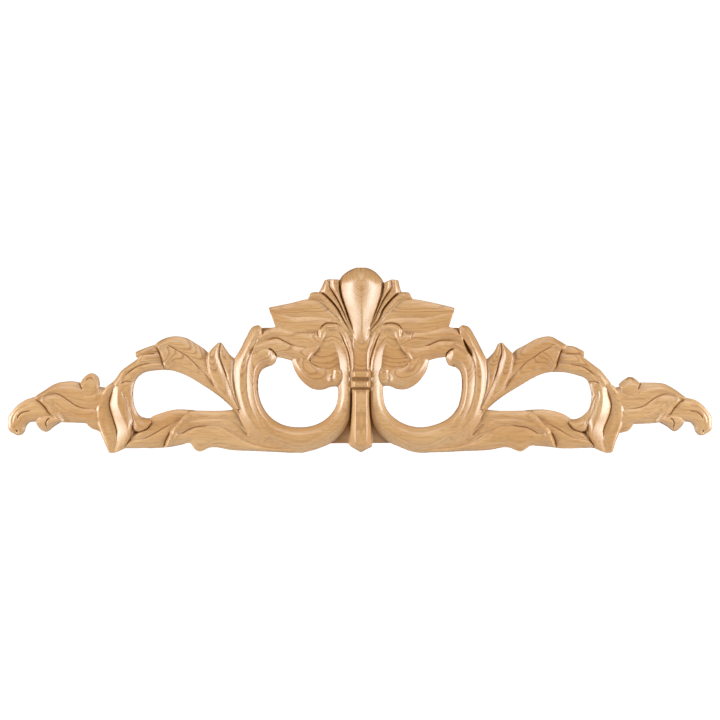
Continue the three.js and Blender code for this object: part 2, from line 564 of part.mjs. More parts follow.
const wood = new THREE.MeshStandardMaterial({ color: 0xcda679, roughness: 0.5, metalness: 0 });
const onlay = new THREE.Mesh(toGeometry(carve()), wood);
onlay.name = 'shell_onlay';

const part = new THREE.Group();
part.add(onlay);

export default part;
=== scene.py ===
import math

import bmesh
import bpy
import numpy as np
from bpy.props import FloatProperty, FloatVectorProperty, IntProperty, PointerProperty
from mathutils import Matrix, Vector
from mathutils.geometry import delaunay_2d_cdt


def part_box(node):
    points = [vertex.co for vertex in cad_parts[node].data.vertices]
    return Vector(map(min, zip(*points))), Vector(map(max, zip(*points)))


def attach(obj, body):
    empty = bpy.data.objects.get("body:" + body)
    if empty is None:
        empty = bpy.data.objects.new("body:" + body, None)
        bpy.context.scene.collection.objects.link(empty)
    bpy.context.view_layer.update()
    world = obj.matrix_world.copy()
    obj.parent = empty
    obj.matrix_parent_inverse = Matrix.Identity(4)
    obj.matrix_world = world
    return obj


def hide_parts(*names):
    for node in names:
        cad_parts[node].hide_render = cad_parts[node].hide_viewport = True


bl_info = {
    "name": "Shell onlay",
    "version": (1, 0, 0),
    "blender": (4, 5, 0),
    "location": "3D View > Sidebar > Shell onlay",
    "description": "Carves a pierced shell onlay in honey-coloured wood before a pale studio floor",
    "category": "Object",
}

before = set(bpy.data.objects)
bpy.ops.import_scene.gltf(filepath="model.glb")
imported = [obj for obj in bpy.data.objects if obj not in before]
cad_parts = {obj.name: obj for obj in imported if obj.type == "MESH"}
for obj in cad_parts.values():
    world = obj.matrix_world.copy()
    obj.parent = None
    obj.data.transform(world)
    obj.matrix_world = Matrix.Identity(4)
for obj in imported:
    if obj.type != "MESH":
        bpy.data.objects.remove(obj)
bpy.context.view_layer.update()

# Lengths in the drawing are millimetres, as the carver reads them; Blender takes metres
MM = 0.001
NODE = "shell_onlay"
WIDTH = 610
DEPTH = 22

# The grid of heights: its margin beyond the width, its lowest row and how tall it is
MARGIN = 3
LOWEST_ROW = -84
GRID_TALL = 168

# Heights of the relief above the back
RECESS = 0.25 * DEPTH
EDGE = 0.36 * DEPTH
UNDER = 0.41 * DEPTH
VEIN = 0.44 * DEPTH
OVER = 0.5 * DEPTH
LIP = 0.56 * DEPTH
ROLL = 0.62 * DEPTH
FILLET = 0.77 * DEPTH

# Crowns: how far a surface swells between two rails
SOFT = 0.07 * DEPTH
LEAFY = 0.1 * DEPTH

# A strip is a surface over two or more rails, which run side by side in the same direction.
# A rail point is [x, z, height], and where the carver's right half strays from the left one's mirror image,
# [x, z, height, dx, dz] gives how far. A crown is a number, or a list of numbers along the strip.
CENTRE = [
  {
    "name": "bulb",
    "crowns": [[2.6, 2.4, 1.4, 0.6, 0.2, 0.2], [2.6, 2.4, 1.4, 0.6, 0.2, 0.2]],
    "rails": [
      [[-2.5, 80.2, 10], [-9, 77.5, EDGE], [-15, 73, EDGE], [-17.6, 68, VEIN], [-17, 60, OVER],
        [-14, 50, 12], [-10.3, 40, 12.2], [-7, 30, 12.2], [-3, 14, 12]],
      [[0.5, 80.4, 11], [1, 76, 17], [1.3, 70, 21], [1.3, 61, DEPTH], [1.4, 50, 21.2],
        [1.6, 38, 19.4], [1.6, 26, 16.4], [1.4, 14, 12.6]],
      [[3.5, 80.3, 10], [10, 78.2, EDGE], [15.5, 74, EDGE], [20.2, 66.5, VEIN], [18.7, 57, OVER],
        [15.5, 47.5, 12], [12, 38, 12.2], [8.6, 28, 12.2], [5, 14, 12]],
    ],
  },
  {
    "name": "neck",
    "crowns": [0.9],
    "rails": [
      [[-5.5, 27, OVER], [-6.2, 12, 11.8], [-6.8, 0, 11.8], [-7.4, -26, OVER]],
      [[8, 27, OVER], [7.8, 12, 11.8], [8.4, 0, 11.8], [8.8, -26, OVER]],
    ],
  },
  {
    "name": "upper band",
    "crowns": [0, 0.4, 0],
    "rails": [
      [[-7.5, -9, ROLL], [-7.5, -15, ROLL]],
      [[-4.8, -9.3, FILLET], [-4.8, -14.7, FILLET]],
      [[6.2, -9.3, FILLET], [6.2, -14.7, FILLET]],
      [[8.8, -9, ROLL], [8.8, -15, ROLL]],
    ],
  },
  {
    "name": "lower band",
    "crowns": [0, 0.4, 0],
    "rails": [
      [[-7.6, -17.3, ROLL], [-7.6, -23.6, ROLL]],
      [[-5, -17.6, FILLET], [-5, -23.3, FILLET]],
      [[6.4, -17.6, FILLET], [6.4, -23.3, FILLET]],
      [[9, -17.3, ROLL], [9, -23.6, ROLL]],
    ],
  },
  {
    "name": "post",
    "crowns": [0, 0.3, 0.3, 0],
    "rails": [
      [[-7, -25, LIP], [-7.2, -40, LIP], [-8.2, -60, LIP], [-9.3, -73, VEIN]],
      [[-4.2, -25.2, FILLET], [-4.2, -50, FILLET], [-4.3, -72, FILLET], [-4.6, -75.8, LIP]],
      [[1, -25.2, FILLET], [1, -50, FILLET], [1, -74, FILLET], [0.8, -79, LIP]],
      [[6, -25.2, FILLET], [6, -50, FILLET], [6, -72, FILLET], [6.2, -76, LIP]],
      [[8.2, -25, LIP], [8.4, -40, LIP], [9.6, -60, LIP], [10.2, -74.2, VEIN]],
    ],
  },
  {
    "name": "stem of the fan",
    "crowns": [0],
    "rails": [
      [[-18.5, 36, VEIN], [-15, 28, OVER], [-13, 18, OVER], [-10, 6, OVER], [-9, -8, OVER],
        [-9, -22, OVER]],
      [[20, 36, VEIN], [16.5, 28, OVER], [14.4, 18, OVER], [11.4, 6, OVER], [10.4, -8, OVER],
        [10.4, -22, OVER]],
    ],
  },
  {
    "name": "ground behind the post",
    "crowns": [0],
    "rails": [
      [[-9, -20, RECESS], [-10, -45, RECESS], [-19, -62, RECESS], [-26, -71.4, RECESS]],
      [[10, -20, RECESS], [11, -45, RECESS], [20, -62, RECESS], [26, -71, RECESS]],
    ],
  },
  {
    "name": "ground behind the fan and the neck",
    "crowns": [0],
    "rails": [
      [[-29, 64, RECESS], [-36, 50, RECESS], [-25, 32, VEIN], [-14, 14, VEIN], [-12, -28, VEIN]],
      [[31, 64, RECESS], [38, 50, RECESS], [27, 32, VEIN], [16, 14, VEIN], [13, -28, VEIN]],
    ],
  },
]

SIDE = [
  {
    "name": "ground under the wing",
    "crowns": [0],
    "rails": [
      [[-100.6, 12, RECESS], [-88, 26.6, RECESS], [-60, 26.6, UNDER], [-12, 28, VEIN]],
      [[-102.4, -6, RECESS], [-88, 3, RECESS], [-76, 4.6, RECESS], [-62, 3, RECESS], [-50, -3, UNDER],
        [-40, -8, VEIN], [-12, -8, VEIN]],
    ],
  },
  {
    "name": "ground at the foot of the rim",
    "crowns": [0],
    "rails": [
      [[-97, -56, OVER], [-84, -63, 11.8], [-68, -66, 11.8]],
      [[-97, -70, RECESS], [-84, -74, EDGE], [-68, -76, EDGE]],
    ],
  },
  {
    "name": "ground beside the drop leaf",
    "crowns": [0],
    "rails": [
      [[-205, -54, 6.6], [-207, -66, 6.6], [-208, -76, 6.6]],
      [[-188, -56, 6.6], [-190, -66, 6.6], [-192, -74, 6.6]],
    ],
  },
  {
    "name": "inner flute",
    "crowns": [LEAFY],
    "rails": [
      [[-18.4, 69.6, 12.6, -3, -2.4], [-17.8, 62, 12.8, -2.4], [-16.2, 55, 12.6, -2], [-13.2, 46, 12.2, -2],
        [-9.4, 34, 11.8, -1], [-5, 24, OVER]],
      [[-28, 69.9, EDGE], [-26.7, 63.5, UNDER, -1], [-22.5, 57.3, UNDER, -1], [-18, 50, VEIN, -1],
        [-14.3, 42, VEIN, -1], [-10.5, 33, VEIN, -1], [-7, 25, OVER]],
    ],
  },
  {
    "name": "middle flute",
    "crowns": [LEAFY],
    "rails": [
      [[-26.8, 69.8, 10], [-26.6, 64.5, 10.4, -1], [-22.6, 57.4, 10.6, -1], [-18.2, 50.2, 10.8, -1],
        [-14.4, 42.2, 10.8, -1], [-10.5, 33.2, 10.8, -1], [-6, 25.6, OVER]],
      [[-30.3, 69.2, EDGE, -2.5], [-32.3, 64, EDGE, -1.5], [-34.6, 59.2, EDGE, -0.6, -1],
        [-31, 57.4, UNDER, -1],
        [-25, 51.8, UNDER, -1], [-19, 44.5, VEIN, -1], [-14.5, 36.5, OVER, -2], [-9, 27, OVER]],
    ],
  },
  {
    "name": "outer flute",
    "crowns": [LEAFY],
    "rails": [
      [[-42.3, 58.2, UNDER, 0, 0.2], [-37, 58.9, VEIN], [-31.4, 57, 10, -1], [-25.5, 51.4, 10.2, -1],
        [-19.5, 44, 10.4, -1], [-15, 36, 10.6, -2], [-9, 26, OVER]],
      [[-44.8, 52.6, EDGE, -0.6], [-39, 53.2, UNDER, -1], [-33, 50.4, UNDER, -1], [-27, 45.6, VEIN, -2],
        [-21, 39, VEIN, -3], [-16, 32.4, OVER, -3], [-11, 26, OVER]],
    ],
  },
  {
    "name": "upper wing leaf",
    "crowns": [1.4, 1.2],
    "rails": [
      [[-9, 26, OVER], [-17, 35, VEIN], [-25, 44.5, EDGE], [-35, 52.8, EDGE], [-46, 52.6, EDGE, -0.8],
        [-60, 49.2, EDGE, -1.5, 0.8], [-78.7, 45.4, EDGE, -2.8, -0.2]],
      [[-11, 25, OVER], [-22, 34.5, OVER], [-33, 37, VEIN], [-45, 38.4, UNDER, 0, -1], [-56, 37.6, UNDER],
        [-66, 40, UNDER], [-77.4, 41.6, EDGE, -3.3]],
      [[-12, 24, OVER], [-20, 30, OVER], [-30, 28.5, OVER], [-38, 25.2, OVER], [-50, 24.8, OVER],
        [-62, 25, VEIN], [-72.4, 28.6, EDGE, -4]],
    ],
  },
  {
    "name": "lower wing leaf",
    "crowns": [LEAFY, LEAFY],
    "rails": [
      [[-30, 24, OVER], [-42, 26, UNDER], [-60, 26.5, UNDER], [-73, 28.4, UNDER, -4],
        [-85, 25.6, UNDER, -1, 0.7]],
      [[-34.5, 13.4, LIP], [-40, 12, OVER], [-47, 11, VEIN], [-55, 12, UNDER, -2], [-65, 16.6, UNDER, -1],
        [-74, 19.2, UNDER, 0, -1.6],
        [-82, 17.6, VEIN], [-91, 13, LIP]],
      [[-44.3, 0.2, LIP], [-47.6, -0.4, VEIN], [-52, -0.6, UNDER], [-60, 0.8, EDGE], [-67, 2.6, EDGE],
        [-73, 4, VEIN, -1.6],
        [-80, 9.6, OVER, -2], [-86, 9, LIP], [-94, 5, ROLL]],
    ],
  },
  {
    "name": "ridge beside the neck",
    "crowns": [[2, 2, 1.6, 1.6, 1.4, 1, 0.6]],
    "rails": [
      [[-35.2, 20.2, OVER, 0, 1], [-36.4, 23.6, OVER, 0, 1], [-34.6, 27.6, OVER, -0.6, 1],
        [-30.6, 31, OVER, -0.4],
        [-25, 32.2, OVER], [-20, 31.4, OVER], [-15, 28.4, OVER], [-11.6, 23.6, OVER], [-8.6, 16, OVER],
        [-6.8, 8, LIP], [-6.2, 0, LIP], [-6.8, -24, OVER]],
      [[-31, 18.6, OVER], [-30.6, 22, LIP], [-29.4, 24.6, LIP], [-27.4, 26.2, LIP], [-24.4, 27, LIP],
        [-21, 26.4, LIP],
        [-18, 23.8, OVER, -1], [-15, 19.4, OVER, -1], [-11.4, 11, LIP, -1], [-9, 2, LIP, -1],
        [-8.6, -24, OVER, -1]],
    ],
  },
  {
    "name": "plate of the scroll",
    "crowns": [0.4, 0.2, [0.4, 0.4, 0.6, 0.8, 0.8, 0.6]],
    "rails": [
      [[-8, -14, LIP, -1], [-8.2, -2, LIP, -1.2], [-9.8, 7, LIP, -1.6], [-13, 16, LIP, -1.4],
        [-16, 24, OVER], [-16.2, 30.2, OVER, -2]],
      [[-10.6, -13, 13.4, -1], [-11, -1, 14, -1], [-13.4, 8, 13.6, -1], [-17.4, 17, LIP, -1],
        [-21, 24, OVER],
        [-22, 31, OVER]],
      [[-17.8, -13, 8.8, -1], [-18, -1, 9.8, -1], [-20.4, 8, 10.4], [-23, 16, OVER], [-25, 23, OVER],
        [-25, 31, OVER]],
      [[-21, -12.5, UNDER], [-29, -7.4, OVER], [-36, -5.6, OVER], [-42.6, -0.4, OVER, -1],
        [-40.6, 5.6, OVER],
        [-35.6, 11.4, OVER], [-34.6, 16.5, OVER], [-36.2, 21.5, OVER], [-35.7, 25.6, OVER, -1, 2],
        [-30.5, 31.4, OVER]],
    ],
  },
  {
    "name": "lobe",
    "crowns": [1.2, 0.8],
    "rails": [
      [[-58.6, 0.4, EDGE, -0.6], [-57.2, -5, EDGE, -1], [-53.4, -13, EDGE, -1], [-47, -20.2, EDGE, -1],
        [-40, -24.3, EDGE], [-32, -24.7, EDGE, 0, 0.5], [-25, -22.3, EDGE, 0, 0.8], [-18, -22, EDGE]],
      [[-53, 2, VEIN], [-49, -6, LIP], [-43, -12, ROLL], [-36, -15, ROLL, 2], [-29, -15.5, LIP],
        [-24.5, -15, VEIN], [-18, -15, VEIN]],
      [[-45, 2, OVER], [-42, -2.5, OVER], [-37, -5.2, OVER], [-31, -6.6, OVER], [-26, -7, VEIN],
        [-22, -6.5, VEIN],
        [-18, -6, VEIN]],
    ],
  },
  {
    "name": "eye of the lobe",
    "crowns": [1.7],
    "rails": [
      [[-22, -7.6, OVER, -2], [-24.2, -11, VEIN, -2], [-24.4, -15, VEIN, -2], [-21.8, -19.8, UNDER, -2]],
      [[-17.2, -8, OVER, -1], [-15.6, -11, OVER, -1], [-15.6, -15.5, OVER, -1], [-17.4, -19.8, VEIN, -1]],
    ],
  },
  {
    "name": "C scroll",
    "crowns": [[1.2, 1.6, 1.6, 1.4, 1.4, 1, 0.4], [1, 0.4, 0.5, 1.4, 1.6, 1.4, 0.8]],
    "rails": [
      [[-78, -4.2, EDGE, -0.6], [-83, -6, EDGE, -1.4],
        [-87, -10.5, EDGE, -0.6], [-88.8, -20, EDGE], [-87.6, -32, EDGE], [-83, -43, EDGE, -1],
        [-76, -51, EDGE],
        [-66, -56.4, EDGE, 0, 0.6], [-52, -58.4, EDGE], [-38, -56, EDGE, 0, 0.8], [-28, -50, EDGE, 0, 1.2],
        [-21.3, -41.5, EDGE, -1], [-18.6, -32, EDGE, -1.2], [-18.8, -18, EDGE, -1], [-20, -8, EDGE, -1]],
      [[-78.6, 3.6, LIP, -1], [-86, 2.4, ROLL], [-90.8, -5, 14.6, -0.6], [-92.2, -15, 15, -1],
        [-92, -28, 15, -1], [-88.4, -43, 14.6, -1], [-82, -54, ROLL], [-73, -61.6, ROLL], [-58, -66, ROLL],
        [-42, -65, ROLL], [-29, -60, ROLL], [-18.6, -50, ROLL, -0.6], [-12.6, -38, 13, -0.6],
        [-11.4, -18, 13, -1],
        [-11, -8, 13.4, -1]],
      [[-79.4, 10.2, OVER, -2], [-88, 12, OVER], [-95, 6, OVER], [-99.4, -4, OVER, -2],
        [-100, -20, OVER, -1.4], [-98.4, -34, OVER, -1], [-94, -47, OVER], [-87, -59, LIP],
        [-78, -70, UNDER],
        [-66, -77.4, EDGE], [-57, -80.1, EDGE, 0, 0.6], [-46, -78.6, EDGE], [-34, -75, EDGE, 0, 0.8],
        [-22.5, -69.5, EDGE, 0, 0.8], [-14, -61, UNDER, -1], [-9.6, -52, VEIN, -1], [-8.2, -40, OVER, -1],
        [-8, -18, OVER, -1], [-8, -8, OVER, -1]],
    ],
  },
  {
    "name": "nub of the C scroll",
    "crowns": [1.4],
    "rails": [
      [[-81.4, 10, OVER, -2], [-84, 5, LIP, -1], [-83, 0, LIP, -1], [-80, -4.9, EDGE, -0.6]],
      [[-76.4, 9, VEIN, -2], [-72.9, 4, UNDER, -2], [-73.6, -0.9, EDGE, -2], [-77, -4.1, EDGE, -0.6]],
    ],
  },
  {
    "name": "rim of the C scroll",
    "crowns": [0.6, 0.4],
    "rails": [
      [[-88, 30.3, EDGE, -1], [-93, 28.5, EDGE, -1], [-98, 20, EDGE, -1.4], [-103, 10, EDGE, -1.4],
        [-109, -0.5, EDGE, -0.6], [-111.2, -12, EDGE, -0.8], [-110.5, -25, EDGE, -0.8],
        [-107.5, -38, EDGE, -1.2],
        [-103, -52, EDGE, -0.8], [-96, -63, EDGE], [-84, -71, UNDER]],
      [[-86.4, 29.2, VEIN, -0.8], [-89, 25.6, LIP, -1], [-93.4, 17.6, ROLL, -1.6], [-98.6, 6.6, ROLL, -1.6],
        [-102.4, -4.6, ROLL, -1.2], [-103.4, -16, ROLL, -1.2], [-102.8, -28, ROLL, -1],
        [-100.4, -38, ROLL, -1],
        [-96.2, -49, ROLL, -1], [-89.4, -58.8, ROLL], [-79.6, -67, LIP]],
      [[-85.2, 28, VEIN, -0.6], [-85.2, 22.5, OVER, -1], [-89.5, 15, OVER, -2], [-95, 4, OVER, -2],
        [-98, -8, LIP, -1.6], [-98, -22, LIP, -1.6], [-96.4, -34, LIP, -1], [-92, -46, LIP, -1],
        [-85, -56, LIP], [-76, -64, LIP]],
    ],
  },
  {
    "name": "bottom leaf",
    "crowns": [SOFT, SOFT, LEAFY],
    "rails": [
      [[-146.4, -43.6, OVER, -0.6], [-136, -44, UNDER], [-120, -44, 8], [-106, -44, 7], [-101, -54, 6],
        [-93, -63, 6.4], [-80, -68, 7.4], [-62, -70.5, 8]],
      [[-157.4, -54, LIP, -0.6], [-147, -52, OVER], [-132, -50.5, 10], [-116, -51, 8.6], [-106, -56, 7.4],
        [-97, -64.5, 6.2], [-82, -71, 7.2], [-61, -73.5, 8]],
      [[-162.8, -62.5, LIP, -1], [-153.5, -62.8, VEIN], [-144, -58.4, VEIN], [-132, -56.2, 9],
        [-119, -58, 8],
        [-109, -63, 7.2], [-98, -70, 6.6], [-82, -75, 7.4], [-57, -77, 7.9]],
      [[-168.2, -74.6, VEIN, -0.5], [-157, -73, EDGE, 0, -0.6], [-147.2, -70.9, EDGE, 0, -2.5],
        [-144.8, -73.6, EDGE, -0.5, -1], [-142.4, -76.8, EDGE], [-139, -78.4, EDGE], [-135.4, -77.4, EDGE],
        [-131, -75.2, EDGE, 1], [-125, -74.7, 7], [-112, -77, 6.4], [-90, -78, 6.6], [-70, -78.9, 7.8],
        [-56, -79.7, 7.9, 0, 0.6]],
    ],
  },
  {
    "name": "edge of the bottom leaf",
    "crowns": [1.2],
    "rails": [
      [[-145, -44.6, UNDER], [-150, -47.4, OVER, 0, -0.5], [-154, -50.6, OVER], [-157.6, -54.6, OVER, -0.5],
        [-160.8, -58.2, OVER, -1.4], [-163.6, -63, OVER, -1], [-165.6, -67, OVER, -1],
        [-168.2, -74.6, VEIN, -0.5]],
      [[-140, -45.6, UNDER], [-146.6, -49.4, LIP], [-150.6, -52.8, LIP], [-154.2, -57, LIP],
        [-157.2, -61, LIP, -1],
        [-160.2, -65.6, LIP, -1], [-162.2, -69.6, LIP], [-164, -74, VEIN]],
    ],
  },
  {
    "name": "under leaf",
    "crowns": [SOFT, SOFT],
    "rails": [
      [[-197, -64, RECESS], [-190.6, -60.6, UNDER], [-184.4, -57, UNDER], [-181, -50, UNDER, -1, -1],
        [-172, -46, EDGE, -2], [-160, -43, EDGE], [-144, -43.4, EDGE]],
      [[-199, -69.5, UNDER], [-188, -67.6, VEIN, -1], [-178, -63.2, VEIN, -2], [-166, -56.4, VEIN],
        [-156, -51, UNDER],
        [-144, -48, UNDER]],
      [[-204, -75.6, EDGE, 1, 0.6], [-190, -75.4, EDGE], [-175, -75.3, EDGE, 0, -0.4], [-164, -74.3, EDGE],
        [-152, -72, EDGE, 0, -1.4]],
    ],
  },
  {
    "name": "small upright leaf",
    "crowns": [LEAFY, LEAFY],
    "rails": [
      [[-122.4, 15.2, VEIN, -0.6], [-128, 9.6, OVER], [-131.8, 4, LIP, -0.8], [-131.6, -4, LIP],
        [-128.5, -16, LIP],
        [-123.5, -26, LIP], [-117, -33, LIP], [-107, -42.6, OVER]],
      [[-120.9, 15.2, EDGE, -1.6], [-122, 6, VEIN, -1], [-120.5, 0, VEIN, -1], [-117, -10, VEIN, -1.6],
        [-113.5, -20, OVER, -1.6], [-109.5, -32, OVER], [-105, -42, OVER]],
      [[-119.5, 14, EDGE, -0.4], [-116, 8.5, EDGE, -0.6, -1.2], [-112, 3.6, EDGE, -1.4],
        [-108, 0, EDGE, 0, -2],
        [-108.5, -10, EDGE], [-108.5, -22, EDGE], [-106.5, -32, EDGE], [-103, -41, EDGE]],
    ],
  },
  {
    "name": "long leaf",
    "crowns": [LEAFY, LEAFY],
    "rails": [
      [[-176.4, 14.3, VEIN, -2.2, -1.4], [-171, 17.8, EDGE, -1.4, -1.2], [-163, 20.3, EDGE, -2],
        [-152, 19.5, EDGE, -2, -0.8],
        [-142, 14, EDGE, -2, -0.6], [-133, 7.5, EDGE, -1], [-129, -2, EDGE], [-125, -16, EDGE],
        [-116, -30, EDGE],
        [-104, -42, EDGE]],
      [[-173.4, 8.6, LIP], [-165, 12.4, VEIN, 0, -0.8], [-157, 8, VEIN], [-149, 3.2, VEIN, -1, -1.6],
        [-140, -5.5, VEIN],
        [-132, -14, VEIN], [-121, -28, UNDER], [-105, -43, EDGE]],
      [[-166.3, -7.2, OVER, 0, -2], [-157, -9.8, EDGE, 0, -1.6], [-148, -13.6, EDGE, 0, -2],
        [-138, -19.6, EDGE, 0, -2],
        [-128, -26, EDGE, 0, -1.6], [-117, -34.4, EDGE, 0, -1], [-104.2, -47.2, EDGE]],
    ],
  },
  {
    "name": "tab behind the long leaf",
    "crowns": [SOFT],
    "rails": [
      [[-168, 17, EDGE], [-176, 13.8, EDGE, 0, -0.8], [-185, 10.7, EDGE, 0, 1], [-194, 7, EDGE, 0.4, 0.6]],
      [[-166, 5, UNDER], [-176, 4.4, UNDER], [-185, 3.6, UNDER], [-193.4, 3, EDGE]],
    ],
  },
  {
    "name": "arch leaf",
    "crowns": [LEAFY, SOFT],
    "rails": [
      [[-166, 8, UNDER], [-178, 6, UNDER], [-188, 4.6, UNDER], [-193.6, 0, EDGE, -1, 1.4],
        [-200, -4.4, EDGE, 0, 1.6],
        [-206.5, -9.5, EDGE, -1, 1], [-210.6, -15.5, EDGE, -2, 1], [-215, -20, EDGE, -2]],
      [[-166, -1, UNDER], [-180, -2.6, VEIN, 0, -0.6], [-191, -4.7, VEIN, 0, -0.6], [-200, -10, VEIN],
        [-205, -15, VEIN], [-208, -24, VEIN]],
      [[-164, -7.8, EDGE, 0, -1.8], [-176, -8, EDGE, 0, -1.6], [-187, -10, EDGE, -1, -2.2],
        [-193.6, -15, EDGE, -2.6, -0.6],
        [-196.6, -23, EDGE, -3.6], [-197.2, -31.5, EDGE, -4]],
    ],
  },
  {
    "name": "drop leaf, outer half",
    "crowns": [0.4, 0.2],
    "rails": [
      [[-216, -20.4, VEIN, -2, -1], [-221, -25, VEIN, -1], [-225.5, -33, VEIN, -1], [-228, -43, VEIN],
        [-227.6, -52, VEIN], [-224.5, -61.5, VEIN], [-221, -70, VEIN], [-217, -79.4, UNDER, -1.4, 0.8]],
      [[-214.5, -21, OVER, -1], [-219, -27, OVER], [-223, -35, OVER], [-225, -43, OVER],
        [-224.4, -52, OVER],
        [-221.4, -62, OVER], [-218, -70, OVER], [-215.6, -79.9, UNDER]],
      [[-210, -20, UNDER], [-213.6, -27, 8.6], [-215.6, -35, 8.4, -1], [-215.2, -43, 8.4, -1.4],
        [-212, -53, 8.4, -1], [-209, -61, 8.4, -1], [-209, -70, 8.4], [-213, -79.8, EDGE]],
    ],
  },
  {
    "name": "drop leaf, inner half",
    "crowns": [0.2, 0.4, 0.6],
    "rails": [
      [[-213.4, -22, UNDER], [-216, -31, 8.8], [-217, -39, 8.8, -0.4], [-214.6, -48, 8.8, -1],
        [-211.4, -58, 8.8, -1],
        [-210.6, -66, 8.8, -1], [-212, -74, 8.8], [-214.5, -79.8, EDGE]],
      [[-208.4, -20, OVER], [-209.4, -30, 12.6], [-209.2, -38, ROLL], [-206.4, -46, 14, -1],
        [-202.2, -54.4, 14, -1],
        [-199.8, -61, 14, -1], [-201.2, -68, LIP], [-209, -78.2, VEIN]],
      [[-203, -20, OVER], [-204.4, -29, OVER, -2], [-202.4, -37, 11.6, -2], [-199.6, -45, 11.6, -2],
        [-197, -53, OVER, -1],
        [-197, -60, EDGE], [-199.5, -68.5, EDGE], [-204.4, -76, EDGE]],
      [[-196.4, -20, UNDER, -2.5], [-197.3, -30, VEIN, -4], [-196, -39, VEIN, -4],
        [-193.6, -45.5, UNDER, -3, -1],
        [-193, -53, EDGE], [-195, -60, EDGE], [-198.4, -67, EDGE], [-203.4, -75.4, EDGE]],
    ],
  },
  {
    "name": "inner curl of the loop",
    "crowns": [[0.6, 1.2, 2.6, 2.6]],
    "rails": [
      [[-197.3, -30, VEIN, -4], [-196, -39, VEIN, -4], [-193, -46, UNDER, -3], [-188, -50, EDGE, 0, -1],
        [-181, -50.6, EDGE, -0.5, -0.8]],
      [[-202, -33, UNDER, -2], [-200.4, -42, UNDER, -2], [-197.6, -52, VEIN, -1], [-194.6, -61, OVER],
        [-186.6, -60, LIP], [-180.8, -54, LIP]],
    ],
  },
  {
    "name": "end leaf",
    "crowns": [2.8, 1, SOFT],
    "rails": [
      [[-281.2, -31.8, OVER, -0.4, -0.8], [-273, -26.3, UNDER, -0.5], [-262, -20, EDGE, -1, -0.6],
        [-250, -18.5, EDGE, 0, -1.2],
        [-243, -19.5, EDGE], [-232, -22, EDGE], [-221, -24, EDGE]],
      [[-277.6, -33.6, LIP], [-269, -29.4, VEIN], [-260, -29.8, VEIN, 1, -0.8], [-251, -35.6, VEIN, 1],
        [-243, -40, VEIN, 0, -0.5],
        [-232, -42, VEIN], [-222, -43, EDGE]],
      [[-270.6, -40.6, LIP], [-262, -38, OVER], [-252, -43.6, OVER], [-243, -46.6, OVER], [-232, -47, OVER],
        [-222, -48, EDGE]],
      [[-259.6, -52.8, OVER, -0.6], [-254, -53.2, EDGE, 0, -0.6], [-246, -53.4, EDGE, 0, -0.8],
        [-238, -53.8, EDGE, 0, -0.8], [-230, -56, EDGE], [-222, -58, EDGE]],
    ],
  },
  {
    "name": "edge of the end leaf",
    "crowns": [1.4],
    "rails": [
      [[-281.2, -31.8, VEIN], [-276.2, -34.4, OVER], [-272.2, -38.4, OVER], [-268.7, -43, OVER],
        [-265, -47.6, OVER],
        [-261, -51.6, OVER], [-258.8, -53, UNDER]],
      [[-278.6, -30.4, UNDER], [-273.6, -32.8, LIP], [-269.6, -37, LIP], [-266, -41.6, LIP],
        [-262.4, -46, LIP],
        [-258.6, -50, OVER], [-256, -52.6, UNDER]],
    ],
  },
  {
    "name": "tip of the end leaf",
    "crowns": [1, 1],
    "rails": [
      [[-268, -29, UNDER], [-281, -31.8, UNDER, -0.6, -0.6], [-291, -35.4, UNDER, -0.6],
        [-299.6, -42.6, UNDER],
        [-305.4, -53, UNDER], [-303.4, -60, UNDER], [-297, -64.2, UNDER]],
      [[-264, -40, UNDER], [-277, -42, OVER], [-289, -44, OVER, 0, -0.6], [-295.4, -48, OVER],
        [-298, -55, OVER],
        [-296.5, -64.2, EDGE]],
      [[-258, -50, EDGE], [-270, -50.6, UNDER], [-281, -52.4, EDGE, -1], [-286.6, -53.2, EDGE],
        [-289.8, -57, EDGE],
        [-291.2, -61.5, EDGE], [-294, -64.3, EDGE]],
    ],
  },
  {
    "name": "lower curl of the end leaf",
    "crowns": [3.4],
    "rails": [
      [[-280, -52, EDGE], [-275, -47.6, VEIN], [-268, -47, VEIN], [-259, -50, UNDER]],
      [[-279.6, -54.4, EDGE], [-277, -58.6, EDGE, 0.4, 0.4], [-271.6, -61.3, EDGE, -0.5, 0.4],
        [-265.6, -57, EDGE, -1],
        [-259, -52.8, EDGE]],
    ],
  },
  {
    "name": "upper curl of the end leaf",
    "crowns": [LEAFY],
    "rails": [
      [[-242, -20.4, VEIN], [-238.4, -14.8, EDGE, 0, -1.6], [-232.4, -11.4, EDGE, -1, -3.2],
        [-227.4, -14.4, EDGE, -1, -3],
        [-225.8, -21, EDGE, 1]],
      [[-240.4, -24.4, OVER], [-236, -27.6, OVER], [-231, -28.6, OVER], [-227, -27, VEIN]],
    ],
  },
  {
    "name": "third curl of the end leaf",
    "crowns": [1],
    "rails": [
      [[-236.4, -52.6, EDGE], [-232, -48, UNDER], [-226, -48, UNDER], [-222, -54, UNDER]],
      [[-235.4, -55.6, EDGE, 0, -1], [-231.6, -58.7, EDGE, -0.6, -1.6], [-227.6, -60, EDGE, -0.6, -1.6],
        [-222, -62.8, EDGE]],
    ],
  },
]

